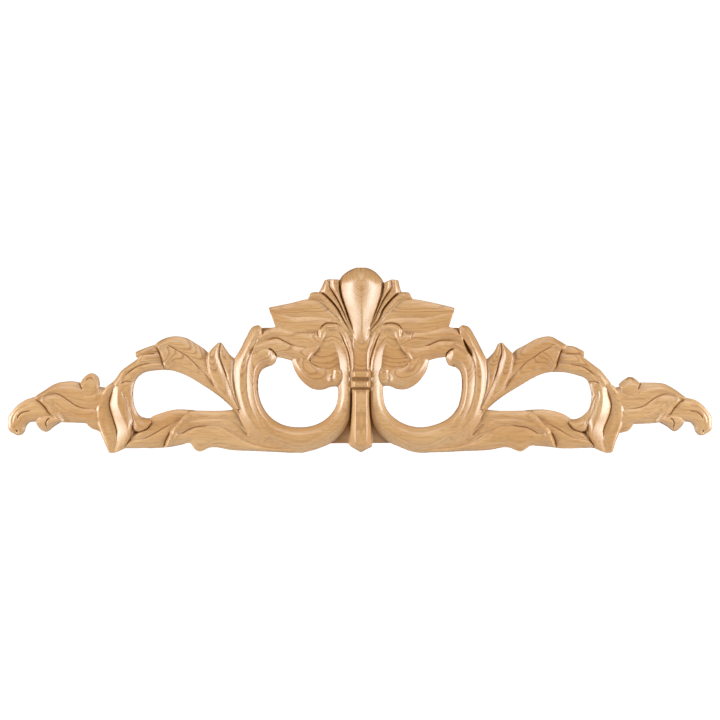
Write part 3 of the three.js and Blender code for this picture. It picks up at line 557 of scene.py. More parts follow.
# Cuts of the veining tool: each has a half width, a depth in the middle, and points that give x and z on the
# left half, and where the right half strays from the mirror image of the left, how far it strays
VEINS = [
    (0.9, 2.4, [[-16.5, 30, -2, 0.5], [-20, 31.8, -1, -0.3], [-25, 32.4], [-29, 32.2],
                [-32.2, 30.2, -1, 0.6],
                [-34.6, 26.6, -2]]),
    (0.7, 1.2, [[-36.8, 25], [-36.6, 22.4], [-35.2, 19.6]]),
    (0.6, 0.9, [[-37.6, 26], [-47, 25.5]]),
    (0.6, 0.9, [[-46.8, 25.4], [-42.5, 19.5, -1, -1]]),
    (2.4, 0.8, [[-44.4, 24], [-41.4, 22.8], [-38.8, 24.2]]),
    (0.7, 1.6, [[-19, 26], [-16.6, 22.6], [-13.4, 15], [-10.6, 8], [-9, 1], [-8.6, -6], [-8.4, -10]]),
    (1.1, 2.0, [[-18.2, 70.6, -2.6, -2], [-17.8, 65, -2.6], [-17, 58, -2.4], [-14.6, 50.4, -2],
                [-12, 43.6, -2]]),
    (0.8, 1.4, [[-15, 52, -2], [-12, 43.6, -2], [-9, 35, -2], [-6.2, 26.6, -1.8]]),
    (0.8, 1.2, [[-27, 65, -1.4, -0.4], [-25, 61.5, -1.4], [-22.5, 57.5, -1.2], [-20, 54, -1], [-18, 50, -1],
                [-16.3, 46.5, -1], [-14.5, 42.5, -1], [-12, 37.5, -1.4]]),
    (0.9, 1.2, [[-34.4, 59, -0.8, -0.6], [-31, 58, -1], [-28, 55, -1], [-25, 52, -1], [-21.5, 48, -1.4],
                [-19, 45, -1.4],
                [-17, 41.5, -1.2], [-15, 37.5, -1.6]]),
    (1.0, 1.3, [[-39, 56, -1, -1.4], [-34, 53, -1.4], [-30, 50, -1], [-26, 46, -1.6], [-23, 43, -1.6],
                [-20, 39.5, -1.6],
                [-17.5, 35.5, -1.4], [-16, 33, -1.6]]),
    (0.7, 1.0, [[-7.8, -25], [-7.9, -40], [-8.6, -52], [-9.6, -62]]),
    (0.7, 0.6, [[-41, -3, -2, 2], [-37, -5, -2], [-33.5, -6.2, -2.6], [-30, -6, -2.6], [-27.5, -4.8, -3]]),
    (0.6, 0.6, [[-34, 11.6], [-36, 9], [-39.5, 5.8], [-43, 2.6]]),
    (1.0, 2.6, [[-80, 10.2, -2], [-77, 9.6, -2], [-74.8, 7.8, -1.6], [-73.1, 5.6, -1.8], [-72.2, 3, -2]]),
    (0.9, 2.4, [[-83.6, 26.4, -1.4], [-84.4, 22.8, -1.8]]),
    (0.7, 0.6, [[-69, 41.5, -6, -1], [-65, 39.5, -5, 0.3], [-60, 38.3, -5], [-55, 37.8, -3, -0.5],
                [-45, 38.5, 0, -1], [-34, 37]]),
    (0.9, 1.3, [[-82, 17, -1], [-78, 18.5, 0, -1], [-73, 19.6, 1, -2], [-70, 19, 2, -2],
                [-65, 16.5, 0, -0.6],
                [-60, 14, -1], [-54, 12]]),
    (0.7, 1.1, [[-130, -56.2], [-137, -57], [-142, -57.5], [-147, -59], [-152, -62], [-156, -64.6]]),
    (0.7, 1.1, [[-191, -68.4], [-185, -67], [-180, -64.5], [-175, -61.5], [-170, -58.5], [-162, -54.6]]),
    (0.8, 1.2, [[-122, 9, -1], [-121.8, 3], [-120.5, -1], [-117, -10, -1.4], [-114.6, -17.6, -1]]),
    (0.7, 1.0, [[-170, 14], [-165, 12.5, 0, -1], [-160, 10, 0, -1], [-155, 7, 0, -1], [-150, 4, 0, -1.6],
                [-145, -0.5], [-140, -5.5], [-135, -11]]),
    (0.7, 1.1, [[-204.6, -14], [-200, -10], [-196, -7], [-191, -4.6], [-186, -3, 0, -1], [-179, -2.5]]),
    (0.6, 1.2, [[-193, 6.2], [-187, 5.5], [-176, 6.2]]),
    (0.7, 1.4, [[-207.4, -20.2], [-204, -18.5], [-197, -18.5]]),
    (0.9, 1.6, [[-213.5, -24], [-215, -29], [-216.5, -34], [-217, -38, -0.5], [-216, -43, -1],
                [-214.5, -48, -1],
                [-213, -53, -0.5], [-211.5, -58], [-210.6, -62], [-210.6, -69, -0.8]]),
    (0.7, 0.8, [[-207, -25], [-204, -31], [-201, -37], [-199, -44], [-197, -49], [-195, -55], [-193, -57.5],
                [-189, -58]]),
    (0.7, 1.1, [[-271, -28.5], [-265, -28.5], [-260, -29.5, 1, -1], [-256, -32], [-251, -35.5], [-246, -39],
                [-240, -41], [-231, -42]]),
    (0.8, 1.7, [[-297.4, -52], [-295.5, -48], [-293, -45.5], [-289, -44], [-283, -43.8]]),
    (1.3, 0.7, [[-301, -56], [-300, -49], [-295.6, -43], [-289, -39.4], [-282, -38]]),
    (1.1, 1.4, [[-297.8, -61], [-296.4, -61]]),
    (1.0, 0.6, [[-268, -34], [-262, -38], [-256, -42.6], [-250, -46], [-243, -49]]),
    (1.0, 0.6, [[-262, -44], [-256, -48], [-249, -50.6], [-242, -51.4]]),
    (0.9, 0.7, [[-243, -26], [-240, -29.4], [-235.6, -30.6], [-231, -29.6], [-227.6, -26.6]]),
    (1.0, 2.0, [[-267.6, -49.6], [-270.6, -51.4], [-271.8, -54.6], [-271, -58.6]]),
    (1.1, 1.8, [[-237.6, -17.6], [-235.6, -15.6], [-232.6, -15], [-230, -17]]),
    (0.8, 1.5, [[-282, -33.4], [-277, -36], [-273, -40], [-269.8, -44.4], [-266.4, -48.8]]),
    (0.9, 1.6, [[-178, 13], [-175.2, 9.6, 0, 1], [-173.2, 5.4], [-171.8, 1.4], [-171, -2], [-169.8, -5.4],
                [-168, -8.4]]),
    (0.8, 1.8, [[-180.2, -51.4], [-180.9, -55], [-184, -59], [-188, -60.8], [-192, -62], [-197, -62.4]]),
    (1.1, 1.8, [[-164, -61, -1], [-166.6, -66, -1], [-168.8, -71, -0.6], [-170, -75.6]]),
    (0.8, 1.6, [[-242.8, -19.6], [-240.4, -25.4]]),
]


# Curves

def rail_points(points, side):
    """Rail points as rows of x, height and z; side is 1 for the right half and -1 for the left."""
    rows = []
    for x, z, height, *stray in points:
        dx, dz = (stray + [0, 0])[:2]
        rows.append((x, height, z) if side < 0 else (-(x + dx), height, z + dz))
    return np.array(rows, float)


def smooth_curve(points, per_span=24):
    """A centripetal curve through the points, finely sampled."""
    first = 2 * points[0] - points[1]
    last = 2 * points[-1] - points[-2]
    through = np.vstack([first, points, last])
    t = np.linspace(0, 1, per_span, endpoint=False)[:, None]
    spans = []
    for p0, p1, p2, p3 in zip(through, through[1:], through[2:], through[3:]):
        d0, d1, d2 = (max(np.sqrt(np.linalg.norm(b - a)), 1e-4) for a, b in ((p0, p1), (p1, p2), (p2, p3)))
        m1 = ((p1 - p0) / d0 - (p2 - p0) / (d0 + d1) + (p2 - p1) / d1) * d1
        m2 = ((p2 - p1) / d1 - (p3 - p1) / (d1 + d2) + (p3 - p2) / d2) * d1
        spans.append(p1 + m1 * t + (3 * (p2 - p1) - 2 * m1 - m2) * t ** 2
                     + (2 * (p1 - p2) + m1 + m2) * t ** 3)
    return np.vstack([*spans, points[-1:]])


def lengths_along(curve):
    return np.concatenate([[0], np.cumsum(np.linalg.norm(np.diff(curve, axis=0), axis=1))])


def spaced(curve, count):
    """The curve at count + 1 places, evenly spaced along its length."""
    along = lengths_along(curve)
    places = np.linspace(0, along[-1], count + 1)
    return np.stack([np.interp(places, along, curve[:, k]) for k in range(curve.shape[1])], axis=1)


def crown_along(crown, count):
    """A crown's value at count + 1 even places along its strip."""
    values = np.atleast_1d(np.asarray(crown, float))
    if len(values) == 1:
        return np.full(count + 1, values[0])
    return np.interp(np.linspace(0, len(values) - 1, count + 1), np.arange(len(values)), values)


def strip_surface(strip, side, step):
    """A strip's surface as a grid of x, height and z."""
    curves = [smooth_curve(rail_points(points, side)) for points in strip["rails"]]
    count = max(6, round(max(lengths_along(curve)[-1] for curve in curves) / step))
    rails = [spaced(curve, count) for curve in curves]
    columns = [rails[0]]
    for left, right, crown in zip(rails, rails[1:], strip["crowns"]):
        cuts = max(4, round(np.linalg.norm(right - left, axis=1).max() / step))
        swell = crown_along(crown, count)
        for j in range(1, cuts + 1):
            share = j / cuts
            column = left + (right - left) * share
            column[:, 1] += swell * math.sin(math.pi * share)
            columns.append(column)
    return np.stack(columns, axis=1)


# The relief as a field of heights

class Relief:
    """Heights above the back on a fine grid, where max keeps the surface nearest the viewer."""

    def __init__(self, step):
        self.step = step
        self.left, self.low = -WIDTH / 2 - MARGIN, LOWEST_ROW
        self.columns = round((WIDTH + 2 * MARGIN) / step) + 1
        self.rows = round(GRID_TALL / step) + 1
        self.height = np.zeros((self.rows, self.columns))

    def lay(self, surface):
        """Lays a strip's surface on the relief."""
        u = (surface[..., 0] - self.left) / self.step
        v = (surface[..., 2] - self.low) / self.step
        h = surface[..., 1]
        corners = [np.stack([a[i:a.shape[0] - 1 + i, j:a.shape[1] - 1 + j].ravel()
                             for i, j in ((0, 0), (1, 0), (1, 1), (0, 1))]) for a in (u, v, h)]
        for pick in ([0, 1, 2], [0, 2, 3]):
            self._fill(*(a[pick] for a in corners))

    def _fill(self, u, v, h):
        det = (v[1] - v[2]) * (u[0] - u[2]) + (u[2] - u[1]) * (v[0] - v[2])
        keep = np.abs(det) > 1e-9
        u, v, h, det = u[:, keep], v[:, keep], h[:, keep], det[keep]
        if not det.size:
            return
        u0, v0 = np.ceil(u.min(0)).astype(int), np.ceil(v.min(0)).astype(int)
        wide = int((np.floor(u.max(0)) - u0).max()) + 1
        tall = int((np.floor(v.max(0)) - v0).max()) + 1
        flat = self.height.ravel()
        for i in range(tall):
            for j in range(wide):
                x, y = u0 + j, v0 + i
                a = ((v[1] - v[2]) * (x - u[2]) + (u[2] - u[1]) * (y - v[2])) / det
                b = ((v[2] - v[0]) * (x - u[2]) + (u[0] - u[2]) * (y - v[2])) / det
                c = 1 - a - b
                inside = (np.minimum(np.minimum(a, b), c) > -1e-6)
                inside &= (x >= 0) & (x < self.columns) & (y >= 0) & (y < self.rows)
                value = a * h[0] + b * h[1] + c * h[2]
                np.maximum.at(flat, (y * self.columns + x)[inside], value[inside])

    def stroke(self, points, half_width):
        """1 in the middle of a stroke and 0 at its sides, on the whole grid."""
        curve = smooth_curve(np.array(points, float))
        curve = spaced(curve, max(2, round(lengths_along(curve)[-1] / (0.5 * self.step))))
        share = np.linspace(0, 1, len(curve))
        width = half_width * np.minimum(1, 0.25 + 4 * np.minimum(share, 1 - share))
        u, v = (curve[:, 0] - self.left) / self.step, (curve[:, 1] - self.low) / self.step
        reach = math.ceil(half_width / self.step) + 1
        u0, v0 = np.rint(u).astype(int), np.rint(v).astype(int)
        cut = np.zeros(self.rows * self.columns)
        for i in range(-reach, reach + 1):
            for j in range(-reach, reach + 1):
                x, y = u0 + j, v0 + i
                distance = np.hypot(x - u, y - v) * self.step
                value = np.clip(1 - distance / width, 0, 1) * width / half_width
                inside = (x >= 0) & (x < self.columns) & (y >= 0) & (y < self.rows) & (value > 0)
                np.maximum.at(cut, (y * self.columns + x)[inside], value[inside])
        return cut.reshape(self.height.shape)


def blurred(field, sigma):
    """The field under a bell of the given width in cells, along both directions."""
    reach = max(1, math.ceil(3 * sigma))
    bell = np.exp(-0.5 * (np.arange(-reach, reach + 1) / sigma) ** 2)
    bell /= bell.sum()
    for axis in (0, 1):
        padded = np.pad(field, [(reach, reach) if k == axis else (0, 0) for k in (0, 1)], mode="edge")
        size = field.shape[axis]
        field = sum(w * padded.take(np.arange(k, k + size), axis=axis) for k, w in enumerate(bell))
    return field


def carved_relief(carving):
    """The onlay's heights and its coverage on a grid, and the grid's step, all in millimetres."""
    relief = Relief(carving.cell / 2)
    for strip in CENTRE:
        relief.lay(strip_surface(strip, -1, carving.cell))
    for strip in SIDE:
        for side in (-1, 1):
            relief.lay(strip_surface(strip, side, carving.cell))
    wood = (relief.height > 0).astype(float)
    soft = carving.softness / relief.step
    near = blurred(wood, soft)
    height = blurred(relief.height, soft) / np.maximum(near, 1e-6)
    wide = blurred(wood, 5 * soft)
    far = blurred(relief.height, 5 * soft) / np.maximum(wide, 1e-6)
    height = np.where(near > 0.05, height, far)
    cuts = np.zeros_like(height)
    for half_width, depth, points in VEINS:
        for side in (-1, 1):
            drawn = rail_points([[x, z, 0, *stray] for x, z, *stray in points], side)[:, [0, 2]]
            cuts = np.maximum(cuts, relief.stroke(drawn, half_width) * depth)
    height = height - blurred(cuts, 0.6)
    cover = blurred(wood, carving.outline_softness / relief.step)
    inside = np.clip(cover, 1e-4, 1 - 1e-4)
    depth_in = carving.outline_softness * np.log(inside / (1 - inside)) / 1.702 + carving.fullness
    near_edge = np.clip(1 - depth_in / carving.arris, 0, 1)
    height = height - carving.arris * (1 - np.sqrt(1 - np.minimum(near_edge, 0.98) ** 2))
    return relief, height[::2, ::2], depth_in[::2, ::2], carving.cell


# The relief as a closed mesh

# For each pattern of corners inside the wood, the faces and the stretch of outline in one cell of the grid.
# Corners 0 to 3 go round the cell; 4 to 7 are the points where the outline crosses the cell's sides
# 0-1, 1-2, 2-3 and 3-0.
CELL_FACES = {
    1: [[0, 4, 7]], 2: [[1, 5, 4]], 4: [[2, 6, 5]], 8: [[3, 7, 6]],
    3: [[0, 1, 5, 7]], 6: [[1, 2, 6, 4]], 12: [[2, 3, 7, 5]], 9: [[3, 0, 4, 6]],
    7: [[0, 1, 2, 6, 7]], 14: [[1, 2, 3, 7, 4]], 13: [[2, 3, 0, 4, 5]], 11: [[3, 0, 1, 5, 6]],
    5: [[0, 4, 5, 2, 6, 7]], 10: [[1, 5, 6, 3, 7, 4]],
    15: [[0, 1, 2, 3]],
}
CELL_OUTLINE = {
    1: [(4, 7)], 2: [(5, 4)], 4: [(6, 5)], 8: [(7, 6)],
    3: [(5, 7)], 6: [(6, 4)], 12: [(7, 5)], 9: [(4, 6)],
    7: [(6, 7)], 14: [(7, 4)], 13: [(4, 5)], 11: [(5, 6)],
    5: [(4, 5), (6, 7)], 10: [(5, 6), (7, 4)],
}


def front_of(relief, height, depth_in, step):
    """Points, faces and outline edges of the carved front."""
    rows, columns = height.shape
    x = relief.left + step * np.arange(columns)
    z = relief.low + step * np.arange(rows)
    grid = np.stack([np.broadcast_to(x, height.shape), height,
                     np.broadcast_to(z[:, None], height.shape)], axis=-1)
    inside = depth_in > 0
    points = [grid[inside]]
    node = np.full(height.shape, -1)
    node[inside] = np.arange(inside.sum())
    total = int(inside.sum())
    crossing = []
    for here, there in ((np.s_[:, :-1], np.s_[:, 1:]), (np.s_[:-1, :], np.s_[1:, :])):
        cut = inside[here] != inside[there]
        t = (depth_in[here] / (depth_in[here] - depth_in[there] + (~cut)))[cut][:, None]
        t = np.clip(t, 0.04, 0.96)
        points.append(grid[here][cut] * (1 - t) + grid[there][cut] * t)
        ids = np.full(cut.shape, -1)
        ids[cut] = total + np.arange(cut.sum())
        total += int(cut.sum())
        crossing.append(ids)
    level, upright = crossing
    case = (inside[:-1, :-1] + 2 * inside[:-1, 1:] + 4 * inside[1:, 1:] + 8 * inside[1:, :-1]).astype(int)
    corner = [node[:-1, :-1], node[:-1, 1:], node[1:, 1:], node[1:, :-1],
              level[:-1], upright[:, 1:], level[1:], upright[:, :-1]]
    faces, outline = [], []
    for pattern, shapes in CELL_FACES.items():
        here = case == pattern
        if not here.any():
            continue
        for shape in shapes:
            faces.extend(np.stack([corner[k][here] for k in shape], axis=1).tolist())
        for a, b in CELL_OUTLINE.get(pattern, []):
            outline.extend(np.stack([corner[a][here], corner[b][here]], axis=1).tolist())
    return np.vstack(points), faces, outline


def onlay_mesh(relief, height, depth_in, step):
    """The whole onlay as a closed mesh: the carved front, walls along the outline and a flat back."""
    points, faces, outline = front_of(relief, height, depth_in, step)
    rim = sorted({i for edge in outline for i in edge})
    lower = {i: len(points) + n for n, i in enumerate(rim)}
    back_points = points[rim] * [1, 0, 1]
    walls = [[a, b, lower[b], lower[a]] for a, b in outline]
    place = {i: n for n, i in enumerate(rim)}
    flat = [Vector((x, z)) for x, _, z in back_points]
    edges = [(place[a], place[b]) for a, b in outline]
    _, _, found, originals, *_ = delaunay_2d_cdt(flat, edges, [], 1, 1e-7)
    if len(originals) != len(rim):
        raise RuntimeError("the back's outline touches itself")
    back = []
    for corners in found:
        ids = [originals[i][0] for i in corners]
        middle = sum((flat[i] for i in ids), Vector((0, 0))) / len(ids)
        column = round((middle.x - relief.left) / step)
        row = round((middle.y - relief.low) / step)
        if depth_in[row, column] > -0.5 * step:
            back.append([len(points) + i for i in ids])
    everything = np.vstack([points, back_points]) * [MM, -MM, MM]
    mesh = bpy.data.meshes.new(NODE + "_carved")
    mesh.from_pydata(everything.tolist(), [], faces + walls + back)
    work = bmesh.new()
    work.from_mesh(mesh)
    bmesh.ops.recalc_face_normals(work, faces=work.faces[:])
    open_edges = sum(1 for edge in work.edges if len(edge.link_faces) != 2)
    work.to_mesh(mesh)
    work.free()
    print("onlay mesh:", len(mesh.vertices), "points,", len(mesh.polygons), "faces,",
          open_edges, "open edges")
    return mesh


# Shader sums

class Term:
    """A node's output, or a plain number, in a sum that builds its own Math nodes."""

    def __init__(self, finish, socket):
        self.finish = finish
        self.socket = socket

    def _with(self, operation, *others):
        return self.finish.node("ShaderNodeMath", {"operation": operation}, dict(enumerate((self, *others))))

    def _after(self, operation, other):
        return self.finish.node("ShaderNodeMath", {"operation": operation}, {0: other, 1: self})

    def __add__(self, other):
        return self._with("ADD", other)

    def __radd__(self, other):
        return self._after("ADD", other)

    def __sub__(self, other):
        return self._with("SUBTRACT", other)

    def __rsub__(self, other):
        return self._after("SUBTRACT", other)

    def __mul__(self, other):
        return self._with("MULTIPLY", other)

    def __rmul__(self, other):
        return self._after("MULTIPLY", other)

    def __truediv__(self, other):
        return self._with("DIVIDE", other)

    def __rtruediv__(self, other):
        return self._after("DIVIDE", other)

    def floor(self):
        return self._with("FLOOR")

    def root(self):
        return self._with("SQRT")

    def between(self, low, high):
        """0 below low, 1 above high, and smooth between."""
        return self.finish.node("ShaderNodeMapRange", {"interpolation_type": "SMOOTHSTEP", "clamp": True},
                                {"Value": self, "From Min": low, "From Max": high})


class Finish:
    """A material under construction."""

    def __init__(self, name):
        self.material = bpy.data.materials.new(name)
        self.material.use_nodes = True
        self.tree = self.material.node_tree
        self.tree.nodes.clear()

    def node(self, kind, settings=None, inputs=None, output=0):
        """Adds a node: its settings first, then the values or links of its inputs, and gives one output."""
        made = self.tree.nodes.new(kind)
        for key, value in (settings or {}).items():
            setattr(made, key, value)
        for key, value in (inputs or {}).items():
            socket = made.inputs[key]
            if isinstance(value, Term):
                self.tree.links.new(value.socket, socket)
            else:
                socket.default_value = value
        return Term(self, made.outputs[output]) if made.outputs else None

    def blend(self, share, first, second):
        """A colour between two colours."""
        return self.node("ShaderNodeMix", {"data_type": "RGBA"}, {0: share, 6: first, 7: second}, 2)

    def stretched(self, place, figure):
        cells = ALONG_THE_BOARD[figure]
        return self.node("ShaderNodeVectorMath", {"operation": "MULTIPLY"}, {0: place, 1: cells})

    def noise(self, place, scale, detail=2.0, roughness=0.5):
        return self.node("ShaderNodeTexNoise", {"noise_dimensions": "3D"},
                         {"Vector": place, "Scale": scale, "Detail": detail, "Roughness": roughness})

    def finished(self, shader):
        self.node("ShaderNodeOutputMaterial", None, {"Surface": shader})
        return self.material


def linear(colour):
    """A colour as seen, in the light values that shaders take."""
    return tuple(c / 12.92 if c <= 0.04045 else ((c + 0.055) / 1.055) ** 2.4 for c in colour[:3])


def rgba(colour):
    return (*linear(colour), 1)


# Noise cells per millimetre along, into and up the board, for each thing that makes the wood's figure
ALONG_THE_BOARD = {
    "wander": (0.006, 0.02, 0.02),
    "ripple": (0.05, 0.1, 0.1),
    "streak": (0.03, 1.1, 1.1),
    "fine": (0.12, 4.0, 4.0),
    "cloud": (0.01, 0.03, 0.03),
    "pores": (0.22, 1.5, 1.5),
}
HEART_WANDER = 18
RING_WANDER = 5
RING_RIPPLE = 0.9
FAINTEST_LINE = 0.16
STRONGEST_LINE = 0.6
STREAK_SHARE = 0.45
FINE_SHARE = 0.4
PORE_SHARE = 0.6
GRAIN_DEPTH = 0.0002
GRAIN_STRENGTH = 0.12
STREAK_DULLING = 0.08
HOLLOW_DULLING = 0.15
VARNISH_ROUGHNESS = 0.3


def carved_wood(look):
    """Honey-coloured flat-sawn wood with growth lines, fine streaks, few pores, shade painted into its
    hollows and a satin varnish.
    """
    finish = Finish("honey_wood")
    object_place = finish.node("ShaderNodeTexCoord", None, None, 3)
    place = finish.node("ShaderNodeVectorMath", {"operation": "SCALE"}, {0: object_place, "Scale": 1 / MM})
    y, z = (finish.node("ShaderNodeSeparateXYZ", None, {0: place}, k) for k in (1, 2))
    wander = finish.noise(finish.stretched(place, "wander"), 1.0, 2.0, 0.5) - 0.5
    ripple = finish.noise(finish.stretched(place, "ripple"), 1.0, 2.0, 0.5) - 0.5
    up = z - look.heart_height + wander * HEART_WANDER
    out = y - look.heart_depth
    rings = ((up * up + out * out).root() + wander * RING_WANDER + ripple * RING_RIPPLE) / look.ring_width
    ring = rings.floor()
    within = rings - ring
    late = within.between(0.45, 0.9) * (1 - within.between(0.93, 1.0))
    strength = finish.node("ShaderNodeTexWhiteNoise", {"noise_dimensions": "1D"}, {"W": ring})
    strength = strength * strength * STRONGEST_LINE + FAINTEST_LINE
    streak = finish.noise(finish.stretched(place, "streak"), 1.0, 3.0, 0.6)
    fine = finish.noise(finish.stretched(place, "fine"), 1.0, 2.0, 0.6)
    cloud = finish.noise(finish.stretched(place, "cloud"), 1.0, 2.0, 0.5)
    pores = finish.noise(finish.stretched(place, "pores"), 1.0, 0.0, 0.0).between(0.79, 0.83)
    # Painted shade: where a point lies deep under its neighbourhood, the colour is darkened towards a warm
    # brown in place of the shadow in creases and recesses; the same mask also dulls the varnish
    painted_hollow_shade = finish.node("ShaderNodeAttribute", {"attribute_name": "painted_hollow_shade"}, None, 2)
    colour = finish.blend(cloud.between(0.3, 0.7), rgba(look.pale), rgba(look.honey))
    colour = finish.blend(late * strength, colour, rgba(look.late_wood))
    colour = finish.blend(streak.between(0.4, 0.75) * STREAK_SHARE, colour, rgba(look.late_wood))
    colour = finish.blend(fine.between(0.45, 0.85) * FINE_SHARE, colour, rgba(look.late_wood))
    colour = finish.blend(pores * PORE_SHARE, colour, rgba(look.pore))
    colour = finish.blend(painted_hollow_shade.between(0.15, 1.0) * look.shade_in_hollows, colour, rgba(look.painted_hollow_shade))
    relief = late * 0.35 + fine * 0.4 + streak * 0.3
    bump = finish.node("ShaderNodeBump", None,
                       {"Strength": GRAIN_STRENGTH, "Distance": GRAIN_DEPTH, "Height": relief})
    shader = finish.node("ShaderNodeBsdfPrincipled", None, {
        "Base Color": colour,
        "Roughness": look.roughness + streak * STREAK_DULLING + painted_hollow_shade.between(0.2, 1.0) * HOLLOW_DULLING,
        "Specular IOR Level": look.gloss,
        "Coat Weight": look.sheen,
        "Coat Roughness": VARNISH_ROUGHNESS,
        "Normal": bump,
    })
    return finish.finished(shader)


# The sweep in metres: its front end, its back, its top, its half width and the radius of its turn
SWEEP_FRONT = -5.0
SWEEP_BACK = 5.0
SWEEP_TOP = 3.5
SWEEP_HALF_WIDTH = 6
SWEEP_RADIUS = 0.5
SWEEP_CUTS = 12
SWEEP_GLOW = 0.95
GLOW_RISE = 0.35

# Each lamp's name, place, target, size, and its share of its power setting
SIDE_LAMPS = [
    ("left_lamp", (-1.5, -0.68, 0.1), (0.35, -0.1, 0), (0.6, 1.35), 1.02),
    ("right_lamp", (1.5, -0.68, 0.1), (-0.35, -0.1, 0), (0.6, 1.35), 0.98),
]
TOP_LAMP = ("top_lamp", (0, -1.1, 1.6), (0, 0, 0), (1.8, 1.4))

# The picture's width in pixels, the camera's sensor in millimetres and how far the camera sees in metres
PICTURE = 720
SENSOR = 36
FARTHEST = 50


def plain_sweep(glow, floor_drop):
    """A pale surface that glows white behind the onlay and hardly at all on the floor."""
    finish = Finish("pale_sweep")
    place = finish.node("ShaderNodeTexCoord", None, None, 3)
    height = finish.node("ShaderNodeSeparateXYZ", None, {0: place}, 2)
    rise = height.between(-floor_drop, GLOW_RISE - floor_drop)
    shader = finish.node("ShaderNodeBsdfPrincipled", None, {
        "Base Color": rgba((0.9, 0.9, 0.9)),
        "Roughness": 0.9,
        "Emission Color": finish.blend(rise, rgba((0.3, 0.3, 0.3)), rgba((0.95, 0.95, 0.95))),
        "Emission Strength": glow,
    })
    return finish.finished(shader)


# Settings

class OnlayCarving(bpy.types.PropertyGroup):
    """How finely the onlay is carved, in millimetres."""

    cell: FloatProperty(name="Cell", description="Size of a cell of the carved surface", default=0.4, min=0.2)
    softness: FloatProperty(name="Softness", description="How far sanding has softened the carving",
                            default=0.4)
    outline_softness: FloatProperty(name="Outline softness", description="How far the outline is smoothed",
                                    default=0.5)
    fullness: FloatProperty(name="Fullness", description="How far the outline stands out from the drawing",
                            default=0.5)
    arris: FloatProperty(name="Arris", description="Radius of the rounded edge along the outline",
                         default=0.9)
    triangles: IntProperty(name="Triangles", description="The most triangles that the onlay may have",
                           default=190000, min=20000)


class OnlayWood(bpy.types.PropertyGroup):
    """Colours and figure of the wood, and the colour and strength of the shade painted into its hollows."""

    pale: FloatVectorProperty(name="Pale wood", description="Lightest early wood", subtype="COLOR", size=3,
                              default=(0.87, 0.70, 0.48), min=0, max=1)
    honey: FloatVectorProperty(name="Honey wood", description="Ordinary early wood", subtype="COLOR", size=3,
                               default=(0.82, 0.62, 0.38), min=0, max=1)
    late_wood: FloatVectorProperty(name="Late wood", description="Growth lines", subtype="COLOR", size=3,
                                   default=(0.64, 0.42, 0.20), min=0, max=1)
    pore: FloatVectorProperty(name="Pore", description="Pores and flecks", subtype="COLOR", size=3,
                              default=(0.45, 0.28, 0.15), min=0, max=1)
    # Painted shade: the colour that the hollows are darkened towards, and how far, in place of the shadow
    # that falls in them
    painted_hollow_shade: FloatVectorProperty(name="Hollow", description="Wood darkened in the hollows", subtype="COLOR",
                                size=3, default=(0.46, 0.26, 0.08), min=0, max=1)
    shade_in_hollows: FloatProperty(name="Shade in hollows", description="How dark the hollows are",
                                    default=0.5, min=0, max=1, subtype="FACTOR")
    roughness: FloatProperty(name="Roughness", description="Roughness of the satin surface", default=0.36,
                             min=0, max=1, subtype="FACTOR")
    sheen: FloatProperty(name="Varnish", description="Strength of the thin satin varnish", default=0.8,
                         min=0, max=1, subtype="FACTOR")
    gloss: FloatProperty(name="Gloss", description="Specular level of the satin surface", default=1.0,
                         min=0, max=1, subtype="FACTOR")
    ring_width: FloatProperty(name="Ring width", description="Millimetres of wood grown in a year",
                              default=1.15, min=0.5)
    heart_height: FloatProperty(name="Heart height", description="Height of the tree's heart, in millimetres",
                                default=-62)
    heart_depth: FloatProperty(name="Heart depth", description="Depth of the tree's heart, in millimetres",
                               default=200)


class OnlayStage(bpy.types.PropertyGroup):
    """Floor, lamps and camera."""

    field: FloatProperty(name="Field", description="Width of the picture at the onlay", default=0.6228,
                         unit="LENGTH")
    lens: FloatProperty(name="Lens", description="Focal length in millimetres", default=200)
    floor_drop: FloatProperty(name="Floor drop", description="How far the floor lies under the origin",
                              default=1.5, unit="LENGTH")
    side_power: FloatProperty(name="Side lamps", description="Power of each tall side lamp", default=25.6)
    top_power: FloatProperty(name="Top lamp", description="Power of the wide lamp above", default=12)
    surround: FloatProperty(name="Surround", description="Brightness of the white surround", default=0.17)


# How far inside the CAD model's box the carving stays, in metres, and the angle that makes an edge sharp
CLEARANCE = 1e-5
SHARP = math.radians(50)


# Operators

